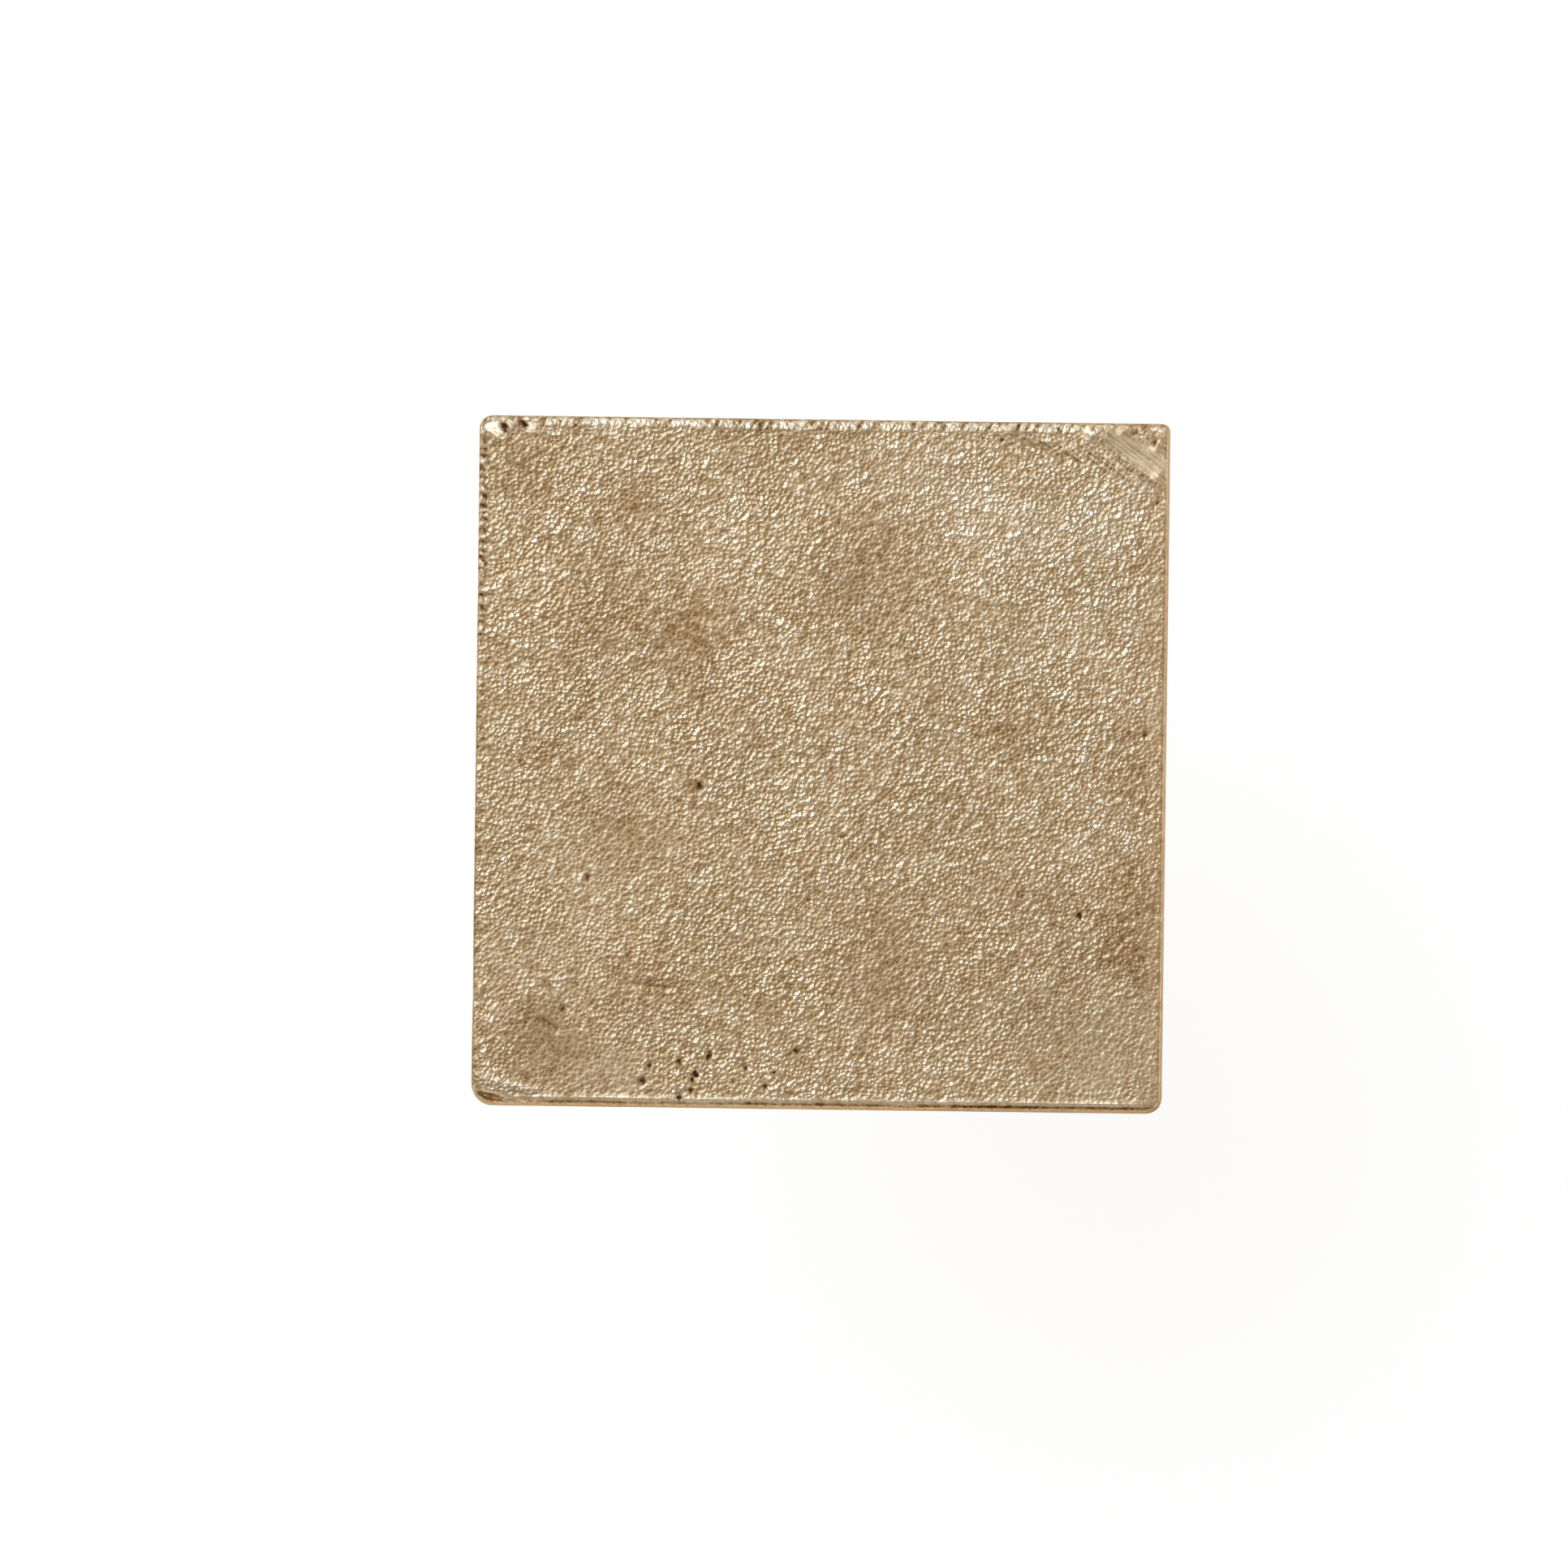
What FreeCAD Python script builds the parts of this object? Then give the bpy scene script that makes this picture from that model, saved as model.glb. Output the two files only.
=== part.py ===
import FreeCAD, Part
import math
import os
import Sketcher

# A square cabinet knob: a sand-cast brass plate held off the door by a turned brass post,
# with the hardware that fixes it to a panel. Millimetres. The origin is the middle of the
# face that sits on the panel, and +Z points out of the panel to the front of the knob.

SIZES = [
    # alias, value, what it is
    ("HeadBackSide", 32.0, "side of the plate at its back face"),
    ("HeadFrontSide", 31.5, "side of the plate at its front face, smaller by the draft"),
    ("HeadThickness", 6.0, "plate, back face to front face"),
    ("HeadBack", 19.0, "height of the plate's back face above the panel"),
    ("HeadCornerRadius", 0.6, "the plate's four upright corners"),
    ("HeadEdgeRadius", 0.25, "the plate's worn front edge"),
    ("SpotfaceRadius", 7.3, "machined seat for the post on the plate's cast back"),
    ("SpotfaceDepth", 0.3, ""),
    ("FootRadius", 8.0, "post's foot on the panel"),
    ("FootHeight", 2.3, "foot, up to where the flare starts"),
    ("FootChamfer", 0.3, "lower edge of the foot"),
    ("FootShoulder", 0.5, "upper edge of the foot"),
    ("NeckFootRadius", 7.5, "flare where it leaves the foot"),
    ("NeckTopRadius", 6.6, "flare where it meets the collar under the plate"),
    ("NeckTopHeight", 17.9, ""),
    ("NeckArcRadius", 19.5, "hollow arc of the neck, in section"),
    ("CollarRadius", 6.9, "collar under the plate"),
    ("ScrewRadius", 2.0, "M4, outside of the thread"),
    ("ScrewLength", 25.0, "under the head to the tip"),
    ("ScrewTipChamfer", 0.5, ""),
    ("ScrewHeadRadius", 4.0, "pan head"),
    ("ScrewHeadHeight", 3.1, ""),
    ("ScrewHeadRim", 1.6, "straight part of the head's side"),
    ("RecessWidth", 1.15, "one slot of the cross recess, at the top"),
    ("RecessSpan", 4.4, "across the cross recess, at the top"),
    ("RecessDepth", 1.7, ""),
    ("RecessDraft", 5.0, "degrees"),
    ("ScrewClearance", 0.06, "screw in the post's thread, on the radius"),
    ("BoreLead", 0.5, "chamfer at the mouth of the post's bore"),
    ("StudLength", 12.0, "joins the plate to the post"),
    ("StudInHead", 4.0, "length of the stud in the plate"),
    ("StudClearance", 0.02, "stud in its two bores, on the radius"),
    ("StudChamfer", 0.4, ""),
    ("SocketAcross", 2.0, "hexagon socket, across flats"),
    ("SocketDepth", 2.0, ""),
    ("RingInnerRadius", 6.05, "rubber ring let into the foot"),
    ("RingOuterRadius", 7.15, ""),
    ("RingHeight", 1.0, ""),
    ("RingClearance", 0.05, "each side of the rubber ring"),
    ("PinRadius", 1.0, "pin that keeps the square plate from turning"),
    ("PinTipRadius", 0.75, "free end of the pin, turned down"),
    ("PinLength", 4.0, ""),
    ("PinStandOut", 1.8, "length that bites into the panel"),
    ("PinOffset", 4.25, "pin's axis from the knob's axis"),
    ("PinClearance", 0.01, "pin in its hole, on the radius"),
    ("PinChamfer", 0.2, ""),
    ("PanelThickness", 18.0, "door or drawer front that the screw passes through"),
    ("FlatWasherRadius", 4.5, ""),
    ("FlatWasherBore", 2.15, "radius"),
    ("FlatWasherHeight", 0.8, ""),
    ("SpringWasherRadius", 3.8, ""),
    ("SpringWasherBore", 2.1, "radius"),
    ("SpringWasherHeight", 0.9, ""),
    ("SpringWasherGap", 0.6, "slot in the split ring"),
    ("SpringWasherSlant", 0.5, "sideways lean of the slot over the ring's height"),
]

TINY = 1e-3  # two heights closer than this are the same

doc = FreeCAD.newDocument("CabinetKnob")


def make_sheet(rows):
    """The spreadsheet that every size in the model is bound to."""
    sheet = doc.addObject("Spreadsheet::Sheet", "Sizes")
    for row, (alias, value, note) in enumerate(rows, start=1):
        sheet.set(f"A{row}", alias)
        sheet.set(f"B{row}", str(value))
        sheet.set(f"C{row}", note)
        sheet.setAlias(f"B{row}", alias)
    doc.recompute()
    return sheet


def make_gauge():
    """An object with one number, through which the script reads what an expression comes to."""
    reader = doc.addObject("App::FeaturePython", "gauge")
    reader.addProperty("App::PropertyFloat", "Reading")
    return reader


def value_of(expression):
    """The number that an expression on the sheet comes to."""
    gauge.setExpression("Reading", expression)
    gauge.recompute()
    return gauge.Reading


def new_body(label, height="0", sideways="0"):
    """A body whose local origin stands at the given height, and sideways along +Y."""
    body = doc.addObject("PartDesign::Body", label)
    body.Label = label
    body.setExpression("Placement.Base.y", sideways)
    body.setExpression("Placement.Base.z", height)
    return body


def new_sketch(body, name, plane, offset="0"):
    """An empty sketch on one of the body's own origin planes, raised along its normal."""
    sketch = body.newObject("Sketcher::SketchObject", name)
    origin_plane = next(f for f in body.Origin.OriginFeatures if f.Role == plane)
    sketch.AttachmentSupport = [(origin_plane, "")]
    sketch.MapMode = "FlatFace"
    sketch.setExpression("AttachmentOffset.Base.z", offset)
    doc.recompute()
    return sketch


def arc_between(start, end, radius):
    """The short arc from start to end, turning to the left of the way from one to the other."""
    chord = end - start
    across = FreeCAD.Vector(-chord.y, chord.x, 0).normalize()
    rise = math.sqrt(radius**2 - (chord.Length / 2) ** 2)
    centre = (start + end) * 0.5 + across * rise
    first = math.atan2(start.y - centre.y, start.x - centre.x)
    last = math.atan2(end.y - centre.y, end.x - centre.x)
    circle = Part.Circle(centre, FreeCAD.Vector(0, 0, 1), radius)
    return Part.ArcOfCircle(circle, first, last)


def draw_outline(sketch, points, arcs=None):
    """A closed outline through points, each a pair of expressions. A side is straight, or an
    arc that bulges to the right of its way, where arcs gives its radius under its number."""
    arcs = arcs or {}
    at = [FreeCAD.Vector(value_of(x), value_of(y), 0) for x, y in points]
    count = len(points)
    for i in range(count):
        start, end = at[i], at[(i + 1) % count]
        if i in arcs:
            sketch.addGeometry(arc_between(start, end, value_of(arcs[i])))
        else:
            sketch.addGeometry(Part.LineSegment(start, end))
    for i in range(count):
        sketch.addConstraint(Sketcher.Constraint("Coincident", i, 2, (i + 1) % count, 1))
    for i, pair in enumerate(points):
        for kind, expression, value in zip(("DistanceX", "DistanceY"), pair, (at[i].x, at[i].y)):
            bind(sketch, Sketcher.Constraint(kind, i, 1, value), expression)
    for i, expression in arcs.items():
        bind(sketch, Sketcher.Constraint("Radius", i, value_of(expression)), expression)


def draw_circle(sketch, radius):
    """A circle about the sketch's origin."""
    circle = Part.Circle(FreeCAD.Vector(0, 0, 0), FreeCAD.Vector(0, 0, 1), value_of(radius))
    sketch.addGeometry(circle)
    sketch.addConstraint(Sketcher.Constraint("Coincident", 0, 3, -1, 1))
    bind(sketch, Sketcher.Constraint("Radius", 0, circle.Radius), radius)


def bind(sketch, constraint, expression):
    """Adds a constraint whose value follows an expression on the sheet."""
    index = sketch.addConstraint(constraint)
    sketch.setExpression(f"Constraints[{index}]", expression)


def turned(body, name, kind, points, arcs=None):
    """A full turn about Z of an outline in the XZ plane: a Revolution adds, a Groove cuts."""
    sketch = new_sketch(body, f"{name}_section", "XZ_Plane")
    draw_outline(sketch, points, arcs)
    feature = body.newObject(f"PartDesign::{kind}", name)
    feature.Profile = sketch
    feature.ReferenceAxis = (sketch, ["V_Axis"])
    feature.Angle = 360.0
    doc.recompute()
    return feature


def padded(body, name, sketch, length):
    """A Pad of the sketch along its normal."""
    pad = body.newObject("PartDesign::Pad", name)
    pad.Profile = sketch
    pad.setExpression("Length", length)
    return pad


def pocketed(body, name, sketch, depth, along_normal=False):
    """A Pocket against the sketch's normal, or along it."""
    pocket = body.newObject("PartDesign::Pocket", name)
    pocket.Profile = sketch
    pocket.Reversed = along_normal
    pocket.setExpression("Length", depth)
    return pocket


def rounded(body, name, base, edges, radius):
    """A Fillet on the numbered edges of the base feature."""
    fillet = body.newObject("PartDesign::Fillet", name)
    fillet.Base = (base, [f"Edge{n}" for n in edges])
    fillet.setExpression("Radius", radius)
    doc.recompute()
    return fillet


def edges_where(feature, wanted):
    """Numbers of the feature's edges for which wanted(edge) is true."""
    return [n for n, edge in enumerate(feature.Shape.Edges, start=1) if wanted(edge)]


def centred_rectangle(width, height):
    """Corner expressions of a rectangle about the origin."""
    right, top = f"{width} / 2", f"{height} / 2"
    return [(right, top), (f"-({right})", top), (f"-({right})", f"-({top})"), (right, f"-({top})")]


def ring_section(inner, outer, low, high):
    """Corner expressions of a rectangle to one side of the axis."""
    return [(inner, low), (outer, low), (outer, high), (inner, high)]


def make_knob_head():
    """The cast plate: four drafted sides, a machined seat and a blind tapped hole behind."""
    body = new_body("knob_head", "Sizes.HeadBack")
    sketch = new_sketch(body, "plate_outline", "XY_Plane")
    draw_outline(sketch, centred_rectangle("Sizes.HeadBackSide", "Sizes.HeadBackSide"))
    plate = padded(body, "plate", sketch, "Sizes.HeadThickness")
    draft = "atan((Sizes.HeadBackSide - Sizes.HeadFrontSide) / 2 / Sizes.HeadThickness)"
    plate.setExpression("TaperAngle", f"-{draft}")
    doc.recompute()
    front = plate.Shape.BoundBox.ZMax
    upright = edges_where(plate, lambda e: abs(e.Vertexes[0].Z - e.Vertexes[-1].Z) > TINY)
    corners = rounded(body, "corners", plate, upright, "Sizes.HeadCornerRadius")
    rim = edges_where(corners, lambda e: all(v.Z > front - TINY for v in e.Vertexes))
    rounded(body, "worn_edge", corners, rim, "Sizes.HeadEdgeRadius")

    seat = new_sketch(body, "seat_outline", "XY_Plane")
    draw_circle(seat, "Sizes.SpotfaceRadius")
    pocketed(body, "seat", seat, "Sizes.SpotfaceDepth", along_normal=True)
    bore = new_sketch(body, "bore_outline", "XY_Plane")
    draw_circle(bore, "Sizes.ScrewRadius + Sizes.StudClearance")
    pocketed(body, "bore", bore, "Sizes.SpotfaceDepth + Sizes.StudInHead", along_normal=True)
    return body


def make_stem():
    """The turned post: foot, hollow neck and collar, bored through for the screw and the stud."""
    body = new_body("stem")
    top = "Sizes.HeadBack + Sizes.SpotfaceDepth"
    stud_end = f"{top} + Sizes.StudInHead - Sizes.StudLength"
    outside = [
        ("0", "0"),
        ("Sizes.FootRadius - Sizes.FootChamfer", "0"),
        ("Sizes.FootRadius", "Sizes.FootChamfer"),
        ("Sizes.FootRadius", "Sizes.FootHeight - Sizes.FootShoulder"),
        ("Sizes.NeckFootRadius", "Sizes.FootHeight"),
        ("Sizes.NeckTopRadius", "Sizes.NeckTopHeight"),
        ("Sizes.CollarRadius", "Sizes.NeckTopHeight"),
        ("Sizes.CollarRadius", top),
        ("0", top),
    ]
    # side 3 rounds the foot's shoulder outwards, side 4 is the hollow of the neck
    turned(body, "post", "Revolution", outside, {3: "Sizes.FootShoulder"})
    hollow = [
        ("Sizes.NeckTopRadius", "Sizes.NeckTopHeight"),
        ("Sizes.NeckFootRadius", "Sizes.FootHeight"),
        ("Sizes.FootRadius * 2", "Sizes.FootHeight"),
        ("Sizes.FootRadius * 2", "Sizes.NeckTopHeight"),
    ]
    turned(body, "neck", "Groove", hollow, {0: "Sizes.NeckArcRadius"})

    screw_bore = "Sizes.ScrewRadius + Sizes.ScrewClearance"
    stud_bore = "Sizes.ScrewRadius + Sizes.StudClearance"
    inside = [
        ("0", "0"),
        (f"{screw_bore} + Sizes.BoreLead", "0"),
        (screw_bore, "Sizes.BoreLead"),
        (screw_bore, stud_end),
        (stud_bore, stud_end),
        (stud_bore, top),
        ("0", top),
    ]
    turned(body, "bore", "Groove", inside)
    groove = ring_section(
        "Sizes.RingInnerRadius - Sizes.RingClearance",
        "Sizes.RingOuterRadius + Sizes.RingClearance",
        "0",
        "Sizes.RingHeight",
    )
    turned(body, "ring_groove", "Groove", groove)

    pin_hole = new_sketch(body, "pin_hole_outline", "XY_Plane")
    pin_hole.setExpression("AttachmentOffset.Base.y", "Sizes.PinOffset")
    draw_circle(pin_hole, "Sizes.PinRadius + Sizes.PinClearance")
    depth = "Sizes.PinLength - Sizes.PinStandOut"
    pocketed(body, "pin_hole", pin_hole, depth, along_normal=True)
    return body


def make_joining_stud():
    """The socket set screw that joins plate and post. Its socket faces the panel."""
    length = "Sizes.StudLength"
    height = f"Sizes.HeadBack + Sizes.SpotfaceDepth + Sizes.StudInHead - {length}"
    body = new_body("joining_stud", height)
    radius, chamfer = "Sizes.ScrewRadius", "Sizes.StudChamfer"
    section = [
        ("0", "0"),
        (f"{radius} - {chamfer}", "0"),
        (radius, chamfer),
        (radius, f"{length} - {chamfer}"),
        (f"{radius} - {chamfer}", length),
        ("0", length),
    ]
    turned(body, "shank", "Revolution", section)
    socket = new_sketch(body, "socket_outline", "XY_Plane")
    corner = "Sizes.SocketAcross / sqrt(3)"
    turns = [60 * i + 30 for i in range(6)]
    draw_outline(socket, [(f"{corner} * cos({a})", f"{corner} * sin({a})") for a in turns])
    pocketed(body, "socket", socket, "Sizes.SocketDepth", along_normal=True)
    return body


def make_base_ring():
    """The rubber ring in the foot, flush with it once the knob is drawn down on the panel."""
    body = new_body("base_ring")
    section = ring_section("Sizes.RingInnerRadius", "Sizes.RingOuterRadius", "0", "Sizes.RingHeight")
    turned(body, "ring", "Revolution", section)
    return body


def make_anti_turn_pin():
    """The steel pin beside the screw. Its lower end stands out of the foot, into the panel."""
    body = new_body("anti_turn_pin", "-Sizes.PinStandOut", "Sizes.PinOffset")
    radius, chamfer, length = "Sizes.PinRadius", "Sizes.PinChamfer", "Sizes.PinLength"
    section = [
        ("0", "0"),
        (f"Sizes.PinTipRadius - {chamfer}", "0"),
        ("Sizes.PinTipRadius", chamfer),
        ("Sizes.PinTipRadius", "Sizes.PinStandOut"),
        (radius, "Sizes.PinStandOut"),
        (radius, f"{length} - {chamfer}"),
        (f"{radius} - {chamfer}", length),
        ("0", length),
    ]
    turned(body, "pin", "Revolution", section)
    return body


def make_flat_washer():
    """The plain washer against the back of the panel."""
    body = new_body("flat_washer", "-(Sizes.PanelThickness + Sizes.FlatWasherHeight)")
    section = ring_section(
        "Sizes.FlatWasherBore", "Sizes.FlatWasherRadius", "0", "Sizes.FlatWasherHeight"
    )
    turned(body, "washer", "Revolution", section)
    return body


def make_spring_washer():
    """The split ring under the screw's head, squeezed flat, with its slanted slot."""
    height = "Sizes.SpringWasherHeight"
    body = new_body(
        "spring_washer", f"-(Sizes.PanelThickness + Sizes.FlatWasherHeight + {height})"
    )
    section = ring_section("Sizes.SpringWasherBore", "Sizes.SpringWasherRadius", "0", height)
    turned(body, "ring", "Revolution", section)
    slot = new_sketch(body, "slot_outline", "YZ_Plane")
    half, lean = "Sizes.SpringWasherGap / 2", "Sizes.SpringWasherSlant"
    corners = [
        (f"-({half}) - {lean}", f"-{height}"),
        (f"{half} - {lean}", f"-{height}"),
        (f"{half} + {lean} * 2", f"{height} * 2"),
        (f"-({half}) + {lean} * 2", f"{height} * 2"),
    ]
    draw_outline(slot, corners)
    pocketed(body, "slot", slot, "Sizes.SpringWasherRadius * 2", along_normal=True)
    return body


def make_mount_screw():
    """The pan head machine screw that passes through the panel into the post."""
    washers = "Sizes.FlatWasherHeight + Sizes.SpringWasherHeight"
    body = new_body("mount_screw", f"-(Sizes.PanelThickness + {washers})")
    radius, head = "Sizes.ScrewRadius", "Sizes.ScrewHeadRadius"
    crown = "Sizes.ScrewHeadHeight - Sizes.ScrewHeadRim"
    section = [
        ("0", "-Sizes.ScrewHeadHeight"),
        (f"{head} - ({crown})", "-Sizes.ScrewHeadHeight"),
        (head, "-Sizes.ScrewHeadRim"),
        (head, "0"),
        (radius, "0"),
        (radius, "Sizes.ScrewLength - Sizes.ScrewTipChamfer"),
        (f"{radius} - Sizes.ScrewTipChamfer", "Sizes.ScrewLength"),
        ("0", "Sizes.ScrewLength"),
    ]
    # side 1 is the round edge of the head
    turned(body, "screw", "Revolution", section, {1: crown})

    slot = new_sketch(body, "recess_outline", "XY_Plane", "-Sizes.ScrewHeadHeight")
    draw_outline(slot, centred_rectangle("Sizes.RecessSpan", "Sizes.RecessWidth"))
    recess = pocketed(body, "recess", slot, "Sizes.RecessDepth", along_normal=True)
    recess.setExpression("TaperAngle", "-Sizes.RecessDraft")
    doc.recompute()
    cross = body.newObject("PartDesign::PolarPattern", "cross_recess")
    cross.Originals = [recess]
    cross.Axis = (slot, ["N_Axis"])
    cross.Angle = 90.0
    cross.Occurrences = 2
    body.Tip = cross
    return body


def check_document(bodies):
    """Stops before anything is written if an object failed or a shape isn't a sound solid."""
    for item in doc.Objects:
        if "Invalid" in item.State or "Error" in item.State:
            raise RuntimeError(f"{item.Label} failed: {item.State}")
    for body in bodies:
        shape = body.Shape
        if shape.isNull() or not shape.isValid() or len(shape.Solids) != 1:
            raise RuntimeError(f"{body.Label} is not one valid solid")


def check_cuts(bodies):
    """Stops if a cutting feature took nothing away."""
    for body in bodies:
        volume = 0.0
        for feature in body.Group:
            if not feature.isDerivedFrom("PartDesign::Feature"):
                continue
            cuts = feature.TypeId in ("PartDesign::Pocket", "PartDesign::Groove")
            if cuts and not feature.Shape.Volume < volume - TINY:
                raise RuntimeError(f"{body.Label}: {feature.Label} cuts nothing")
            volume = feature.Shape.Volume


sheet = make_sheet(SIZES)
gauge = make_gauge()
pieces = [
    make_knob_head(),
    make_stem(),
    make_joining_stud(),
    make_base_ring(),
    make_anti_turn_pin(),
    make_flat_washer(),
    make_spring_washer(),
    make_mount_screw(),
]
doc.removeObject(gauge.Name)
doc.recompute()
check_document(pieces)
check_cuts(pieces)

os.makedirs("parts", exist_ok=True)
for piece in pieces:
    piece.Shape.exportStep(f"parts/{piece.Label}.step")
    box = piece.Shape.optimalBoundingBox()
    print(f"{piece.Label}: {piece.Shape.Volume:.1f} mm3, z {box.ZMin:.2f} to {box.ZMax:.2f}")
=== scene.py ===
import math
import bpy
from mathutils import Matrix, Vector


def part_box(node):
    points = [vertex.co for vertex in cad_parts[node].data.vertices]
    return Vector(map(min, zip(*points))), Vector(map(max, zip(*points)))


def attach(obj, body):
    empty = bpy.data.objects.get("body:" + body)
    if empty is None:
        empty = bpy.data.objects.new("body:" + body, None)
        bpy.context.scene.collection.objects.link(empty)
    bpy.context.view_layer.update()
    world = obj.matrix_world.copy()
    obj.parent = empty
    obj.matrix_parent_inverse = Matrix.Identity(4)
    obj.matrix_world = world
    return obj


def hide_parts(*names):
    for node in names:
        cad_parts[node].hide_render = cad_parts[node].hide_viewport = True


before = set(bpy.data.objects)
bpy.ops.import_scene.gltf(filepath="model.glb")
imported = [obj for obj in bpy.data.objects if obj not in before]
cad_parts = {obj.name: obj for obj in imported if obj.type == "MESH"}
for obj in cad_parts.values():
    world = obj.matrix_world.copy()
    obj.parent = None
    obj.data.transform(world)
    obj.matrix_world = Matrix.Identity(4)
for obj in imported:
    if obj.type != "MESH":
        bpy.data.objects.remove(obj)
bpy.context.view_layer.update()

from types import SimpleNamespace

import bmesh
import bpy
import numpy as np
from mathutils import Euler, Vector

# A square sand-cast brass cabinet knob with its screw and washers. The axis of the knob is Z.
# Lengths are in metres, most of them a number times MM, except where a section or a function
# says that they are in millimetres.

MM = 0.001

# ---- the frame's own sizes

HEAD_LOW, HEAD_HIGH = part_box("knob_head")
_, STEM_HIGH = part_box("stem")
SCREW_LOW, SCREW_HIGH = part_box("mount_screw")
FLAT_LOW, FLAT_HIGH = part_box("flat_washer")
SPRING_LOW, SPRING_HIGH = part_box("spring_washer")
RING_LOW, RING_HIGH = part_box("base_ring")
PIN_LOW, PIN_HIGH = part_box("anti_turn_pin")

# ---- noise in space


def hashed(cells, seed):
    """A number from 0 to 1 for each whole-numbered cell, the same every time for one seed."""
    mixed = cells.astype(np.int64)
    x, y, z = mixed[..., 0], mixed[..., 1], mixed[..., 2]
    value = (x * 374761393 + y * 668265263 + z * 2147483647 + seed * 974634777).astype(np.uint64)
    for shift, factor in ((33, 0xFF51AFD7ED558CCD), (33, 0xC4CEB9FE1A85EC53)):
        value ^= value >> np.uint64(shift)
        value *= np.uint64(factor)
    value ^= value >> np.uint64(33)
    return (value >> np.uint64(40)).astype(float) / float(1 << 24)


# turns space so that the cells of the noise don't line up with the knob's sides
SKEW = np.array(Euler((0.6, 0.45, 0.55)).to_matrix())


def smooth_noise(points, size, seed):
    """Smooth noise from about -1 to 1 whose lumps are about size across."""
    p = points @ SKEW.T / size
    cell = np.floor(p)
    part = p - cell
    ease = part * part * part * (part * (part * 6 - 15) + 10)
    total = np.zeros(len(points))
    for corner in np.ndindex(2, 2, 2):
        corner = np.array(corner)
        weight = np.prod(np.where(corner == 1, ease, 1 - ease), axis=1)
        slope = np.stack([hashed(cell + corner, seed * 3 + k) * 2 - 1 for k in range(3)], axis=1)
        total += weight * np.sum(slope * (part - corner), axis=1)
    return total * 2.4


def cloudy_noise(points, size, seed, layers=3):
    """Layers of smooth noise, each half the size and half the strength of the one before."""
    total = sum(smooth_noise(points, size / 2**i, seed + i) / 2**i for i in range(layers))
    return total / sum(0.5**i for i in range(layers))


def ramp(value, low, high):
    """0 up to low, 1 from high on, and a smooth step between. Low may be the greater."""
    t = np.clip((value - low) / (high - low), 0, 1)
    return t * t * (3 - 2 * t)


def hump(value, middle, width):
    """1 at the middle, falling off smoothly to both sides."""
    return np.exp(-(((value - middle) / width) ** 2))


# ---- mesh helpers


def new_object(name, data):
    """An object in the scene."""
    made = bpy.data.objects.new(name, data)
    bpy.context.scene.collection.objects.link(made)
    return made


def mesh_object(name, verts, faces):
    """An object with a mesh of its own."""
    mesh = bpy.data.meshes.new(name)
    mesh.from_pydata(verts, [], faces)
    return new_object(name, mesh)


def outward(piece):
    """Turns every face of a closed mesh to look outwards."""
    bm = bmesh.new()
    bm.from_mesh(piece.data)
    bmesh.ops.recalc_face_normals(bm, faces=bm.faces)
    bm.to_mesh(piece.data)
    bm.free()


def new_piece(name, shape, body, node, material):
    """A smooth piece of a closed shape that rides on a body and stands for a CAD node."""
    piece = mesh_object(name, *shape)
    mesh = piece.data
    mesh.validate()
    mesh.polygons.foreach_set("use_smooth", [True] * len(mesh.polygons))
    mesh.materials.append(material)
    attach(piece, body)
    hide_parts(node)
    outward(piece)
    return piece


def join_rings(first, second):
    """Faces between two rings of vertex numbers, where the second may have half as many."""
    count = len(second)
    ahead = [(i + 1) % count for i in range(count)]
    if len(first) == count:
        return [(first[i], first[j], second[j], second[i]) for i, j in enumerate(ahead)]
    faces = []
    for i, j in enumerate(ahead):
        a, b, c = first[2 * i], first[2 * i + 1], first[2 * j]
        faces += [(a, b, second[i]), (b, second[j], second[i]), (b, c, second[j])]
    return faces


def each_vertex(mesh, key):
    """A vector of each vertex of a mesh."""
    values = np.zeros(len(mesh.vertices) * 3)
    mesh.vertices.foreach_get(key, values)
    return values.reshape(-1, 3)


def places(piece):
    """Each vertex's distance from the axis and its height, in millimetres."""
    x, y, z = each_vertex(piece.data, "co").T / MM
    return np.hypot(x, y), z


def sharp_edges(piece, degrees):
    """Keeps edges that turn by more than an angle crisp under smooth shading."""
    piece.data.set_sharp_from_angle(angle=math.radians(degrees))


def add_value(mesh, name, values):
    """A number for each vertex, for a material to read."""
    layer = mesh.attributes.new(name, "FLOAT", "POINT")
    layer.data.foreach_set("value", np.asarray(values, np.float32))


# ---- the cast plate's shape

HEAD_TOP = HEAD_HIGH.z
HEAD_BACK = HEAD_LOW.z
BACK_HALF = HEAD_HIGH.x
# how far each side leans in from the back of the plate to its front
LEAN = {"right": 0.26 * MM, "left": 0.12 * MM, "top": 0.17 * MM, "bottom": 0.22 * MM}
# the radius of each corner of the outline
CORNER = {
    ("top", "left"): 0.6 * MM,
    ("top", "right"): 0.35 * MM,
    ("bottom", "left"): 0.95 * MM,
    ("bottom", "right"): 0.75 * MM,
}
EDGE_ROUND = 0.13 * MM
# the grid of cells on the front
GRID_HALF = 15.0 * MM
GRID_CELLS = 256
GRID_SHIFT = 0.32  # of a cell
RIM_STEPS = 8
# over 1, so that the rim's rings lie closer together towards the side
RIM_CROWDING = 1.5
SIDE_FINE_STEP = 0.13 * MM
SIDE_ROWS = 20
SEAT_RADIUS = 7.3 * MM
SEAT_DEPTH = 0.3 * MM
BORE_RADIUS = 2.02 * MM
BORE_DEPTH = 4.3 * MM
BACK_RINGS = 16


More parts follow.
